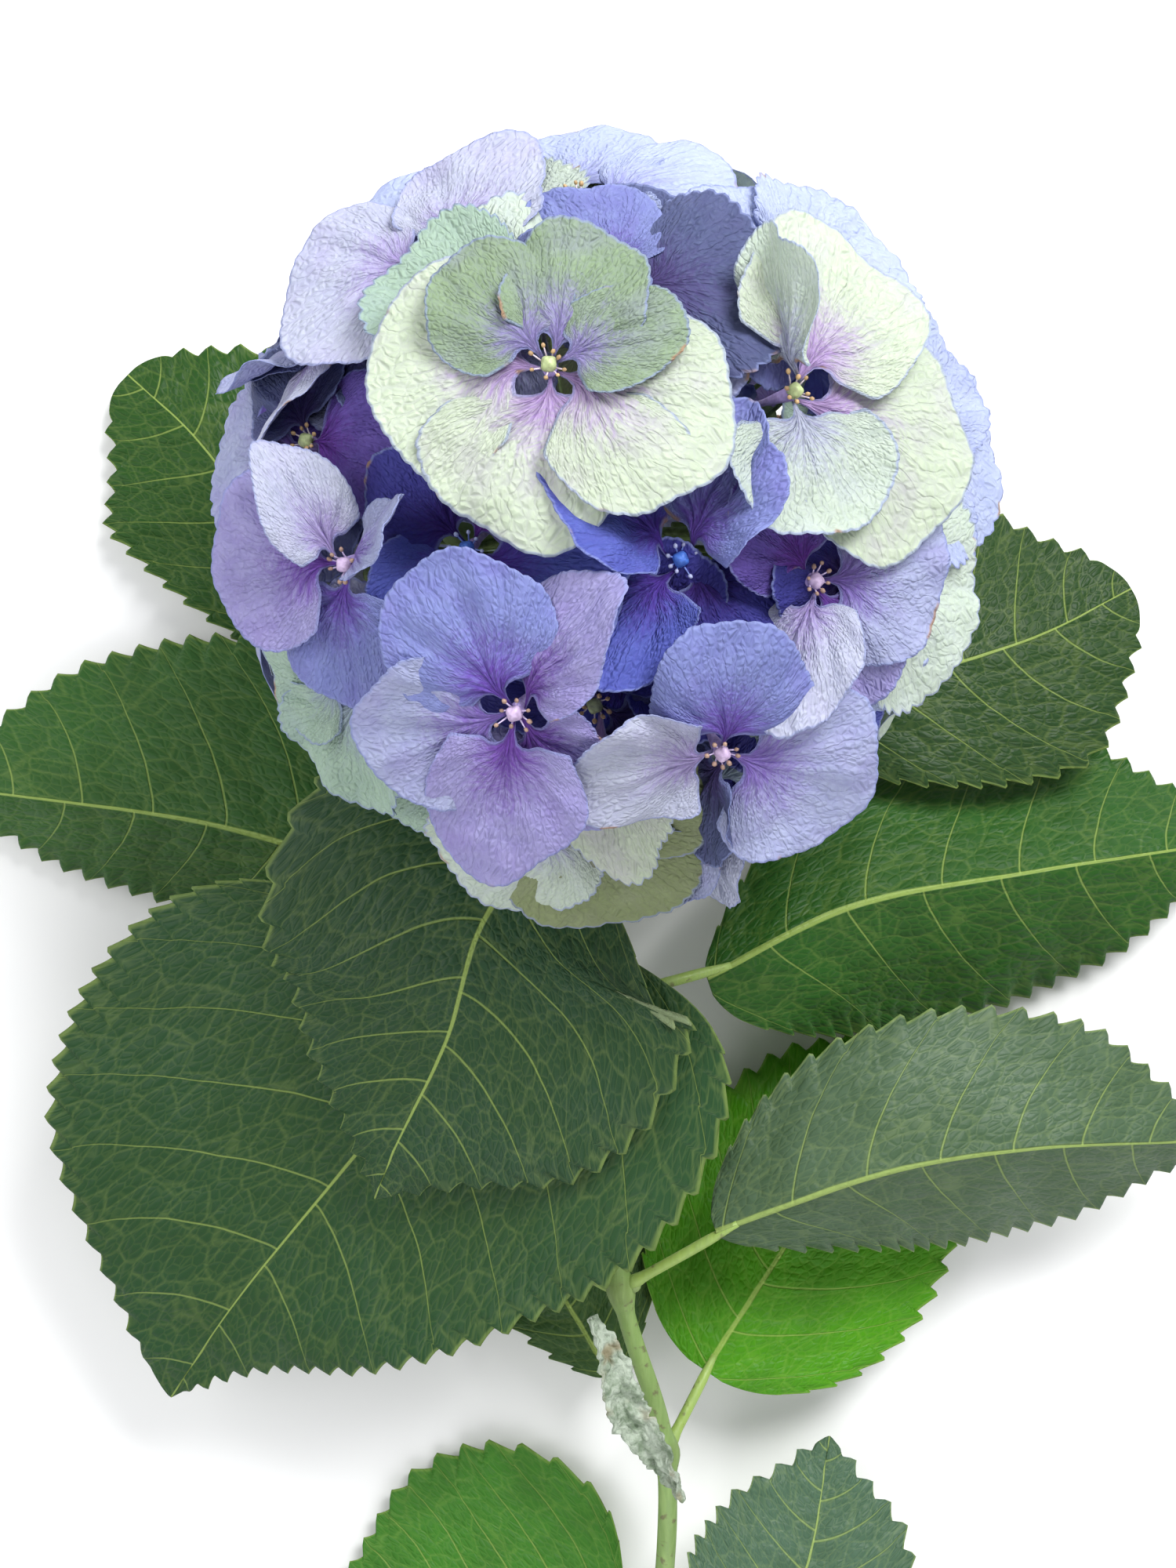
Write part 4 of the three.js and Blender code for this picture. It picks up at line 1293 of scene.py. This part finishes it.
def blade(line, left, right, seed):
    """The blade's middle points in millimetres, row by row, with the place of each."""
    t, tooth = blade_rows(line, left, right)
    s = np.array([-1, -0.985, -0.93, -0.84, -0.73, -0.6, -0.47, -0.34, -0.22, -0.12, -0.05, -0.018, 0,
                  0.018, 0.05, 0.12, 0.22, 0.34, 0.47, 0.6, 0.73, 0.84, 0.93, 0.985, 1.0])[::-1]
    ahead = line.ahead(t)
    across = unit(np.cross(ahead, (0, 0, 1)))
    upward = np.cross(across, ahead)
    middle = line(t)
    grid = np.zeros((len(t), len(s), 3))
    hook = np.where(tooth < 0.75, tooth / 0.75, (1 - tooth) / 0.25) ** 1.3
    ends = smooth(0.02, 0.1, t) * (1 - smooth(0.93, 0.985, t))
    for j, share in enumerate(s):
        half = left if share < 0 else right
        edge = smooth(0.8, 1.0, abs(share))
        out = abs(share) * half_width(half, t) / math.hypot(1, half[2])
        wave = np.array([noise.noise(Vector((v * 5.5, math.copysign(2, share), seed))) for v in t])
        grown = out + (hook - 0.35) * TOOTH_DEPTH * edge * ends
        lift = half[2] * out - half[3] * out ** 2 / half[0] + 2.6 * wave * abs(share) ** 2 * ends
        row = (t - VEIN_BOW * out * abs(share) ** VEIN_CURVE / line.long) * VEINS + 0.13 * np.sign(share)
        between = 1 - (1 - 2 * np.abs(np.mod(row, 1) - 0.5)) ** 2
        swollen = (between - 0.5) * -SWELL * smooth(0, 0.12, abs(share)) * (1 - edge) * ends
        grid[:, j] = middle + across * (np.sign(share) * grown)[:, None] + upward * (lift - swollen)[:, None]
        grid[:, j] += ahead * (1.5 * hook * edge * ends)[:, None]
    room = HEAD_ROOM ** 2 - grid[..., 0] ** 2 - grid[..., 1] ** 2
    beneath = (room > 0) & (grid[..., 2] < HEAD_HEIGHT / 2)
    ceiling = np.where(beneath, HEAD_HEIGHT - np.sqrt(np.maximum(room, 0)), NO_CEILING)
    grid[..., 2] = np.clip(grid[..., 2], TABLE_CLEARANCE, ceiling)
    place = np.stack(np.broadcast_arrays(s[None, :], t[:, None], 0.0), axis=-1)
    return grid, place


def make_leaf(name, seed):
    """One leaf: its blade and its stalk, in place of its solid."""
    joint, route, left, right, tone = LEAVES[name]
    line = Line(route)
    grid, place = blade(line, left, right, seed)
    rows, columns = grid.shape[:2]
    rib = np.exp(-(place[..., 0] / 0.03) ** 2) * 1.0 * (1 - place[..., 1]) + 0.04
    skin = Skin()
    thick = (LEAF_THICK * smooth(1.02, 0.9, np.abs(place[..., 0])) * 0.8 + 0.15 + rib) * MM
    size = np.stack(np.broadcast_arrays(
        np.where(place[..., 0] < 0, half_width(left, place[..., 1]), half_width(right, place[..., 1])) / 100,
        line.long / 100, seed * 0.1), axis=-1)
    upside = placed(grid)
    closed_sheet(skin, upside, thick, place=place, tint=paint(tone), heart=size)
    skin.facts["place"][-1] = skin.facts["place"][-1].copy()
    skin.facts["place"][-1][rows * columns:, 2] = 1.0  # the lower face
    start = stem_at(joint)
    away = unit(grid[0, columns // 2] - start)
    shares = np.linspace(0, 1, 16)[:, None]
    foot = start + away * 2.4
    end = line(0.045)
    bow = np.outer(np.sin(np.pi * shares[:, 0]), (0, 0, 1)) * 0.6
    stalk = foot + (end - foot) * shares + bow
    wider, thinner = 1 - smooth(0, 0.18, shares[:, 0]), smooth(0.7, 1.0, shares[:, 0])
    radii = PETIOLE_RADIUS * (1 + 0.45 * wider - 0.35 * thinner)
    tube(skin, placed(stalk), radii * MM, 14, 1, tint=paint("#93ad55"))
    return piece_from(skin, name + "_skin", [leaf.material, woody.material], "leaf", name)


leaf_triangles = [triangles(make_leaf(name, seed)) for seed, name in enumerate(LEAVES, 1)]
print("leaves:", len(leaf_triangles), "triangles:", sum(leaf_triangles))

# %% [markdown]
# ## The withered leaf
# A small dried leaf clings along the stem: pale, crumpled and curled on itself. A strip that twists, with
# strong noise across it, gives the crumpling, and its margin is ragged.

# %% Withered leaf
WITHERED_ROUTE = [(-3, -166, 48), (1, -175, 47), (5, -186, 44), (12, -196, 42), (18, -207, 38)]
TWIST = 2.4
WITHERED_HALF = 4.4

dry = Finish("withered_skin")
dry_where = dry.node("TexCoord").outputs["Object"]
dry_noise = dry.noise(dry_where, 230.0, 5.0, 0.65)
dry_cells = dry.cells(dry_where, 480.0)
dry_tint = dry.blend(dry.ramp(dry_noise, 0.35, 0.65), rgba("#6d7f66"), rgba("#b3beae"))
dry_tint = dry.blend(dry.ramp(dry.noise(dry_where, 130.0), 0.55, 0.7, 0.0, 0.7), dry_tint, rgba("#8d7b58"))
dry.put(dry.skin.inputs["Base Color"], dry_tint)
dry.put(dry.skin.inputs["Roughness"], dry.ramp(dry_noise, 0.3, 0.7, 0.6, 0.85))
dry.put(dry.skin.inputs["Normal"], dry.bump(dry.math("ADD", dry_noise, dry_cells), 0.0009, 0.9))

line = Line(WITHERED_ROUTE)
t = np.linspace(0, 1, 90)
s = np.linspace(-1, 1, 25)
ahead = line.ahead(t)
level = unit(np.cross(ahead, (0, 0, 1)))
grid = np.zeros((len(t), len(s), 3))
for i, share in enumerate(t):
    turn = TWIST * (share - 0.5)
    flat = level[i] * math.cos(turn) + np.cross(ahead[i], level[i]) * math.sin(turn)
    up = np.cross(flat, ahead[i])
    for j, v in enumerate(s):
        ragged = 1 + 0.35 * noise.noise(Vector((share * 30, math.copysign(5, v), 1)))
        wide = WITHERED_HALF * math.sin(math.pi * min(0.97, share + 0.03)) ** 0.5 * ragged
        broad = 1.5 * noise.noise(Vector((share * 13, v * 2.2, 4)))
        crumple = broad + 0.6 * noise.noise(Vector((share * 40, v * 6, 7)))
        grid[i, j] = line(share) + flat * v * wide + up * (crumple + 1.6 * v * v)
skin = Skin()
closed_sheet(skin, placed(grid), 0.4 * MM)
withered = piece_from(skin, "withered_leaf_skin", [dry.material], "withered_leaf", "withered_leaf")
print("withered leaf triangles:", triangles(withered))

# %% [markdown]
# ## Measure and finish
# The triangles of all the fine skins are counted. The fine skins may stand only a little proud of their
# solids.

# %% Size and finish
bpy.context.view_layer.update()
total = sum(triangles(o) for o in bpy.data.objects if o.type == "MESH" and o.name not in frame["nodes"])
print("triangles in all:", total)
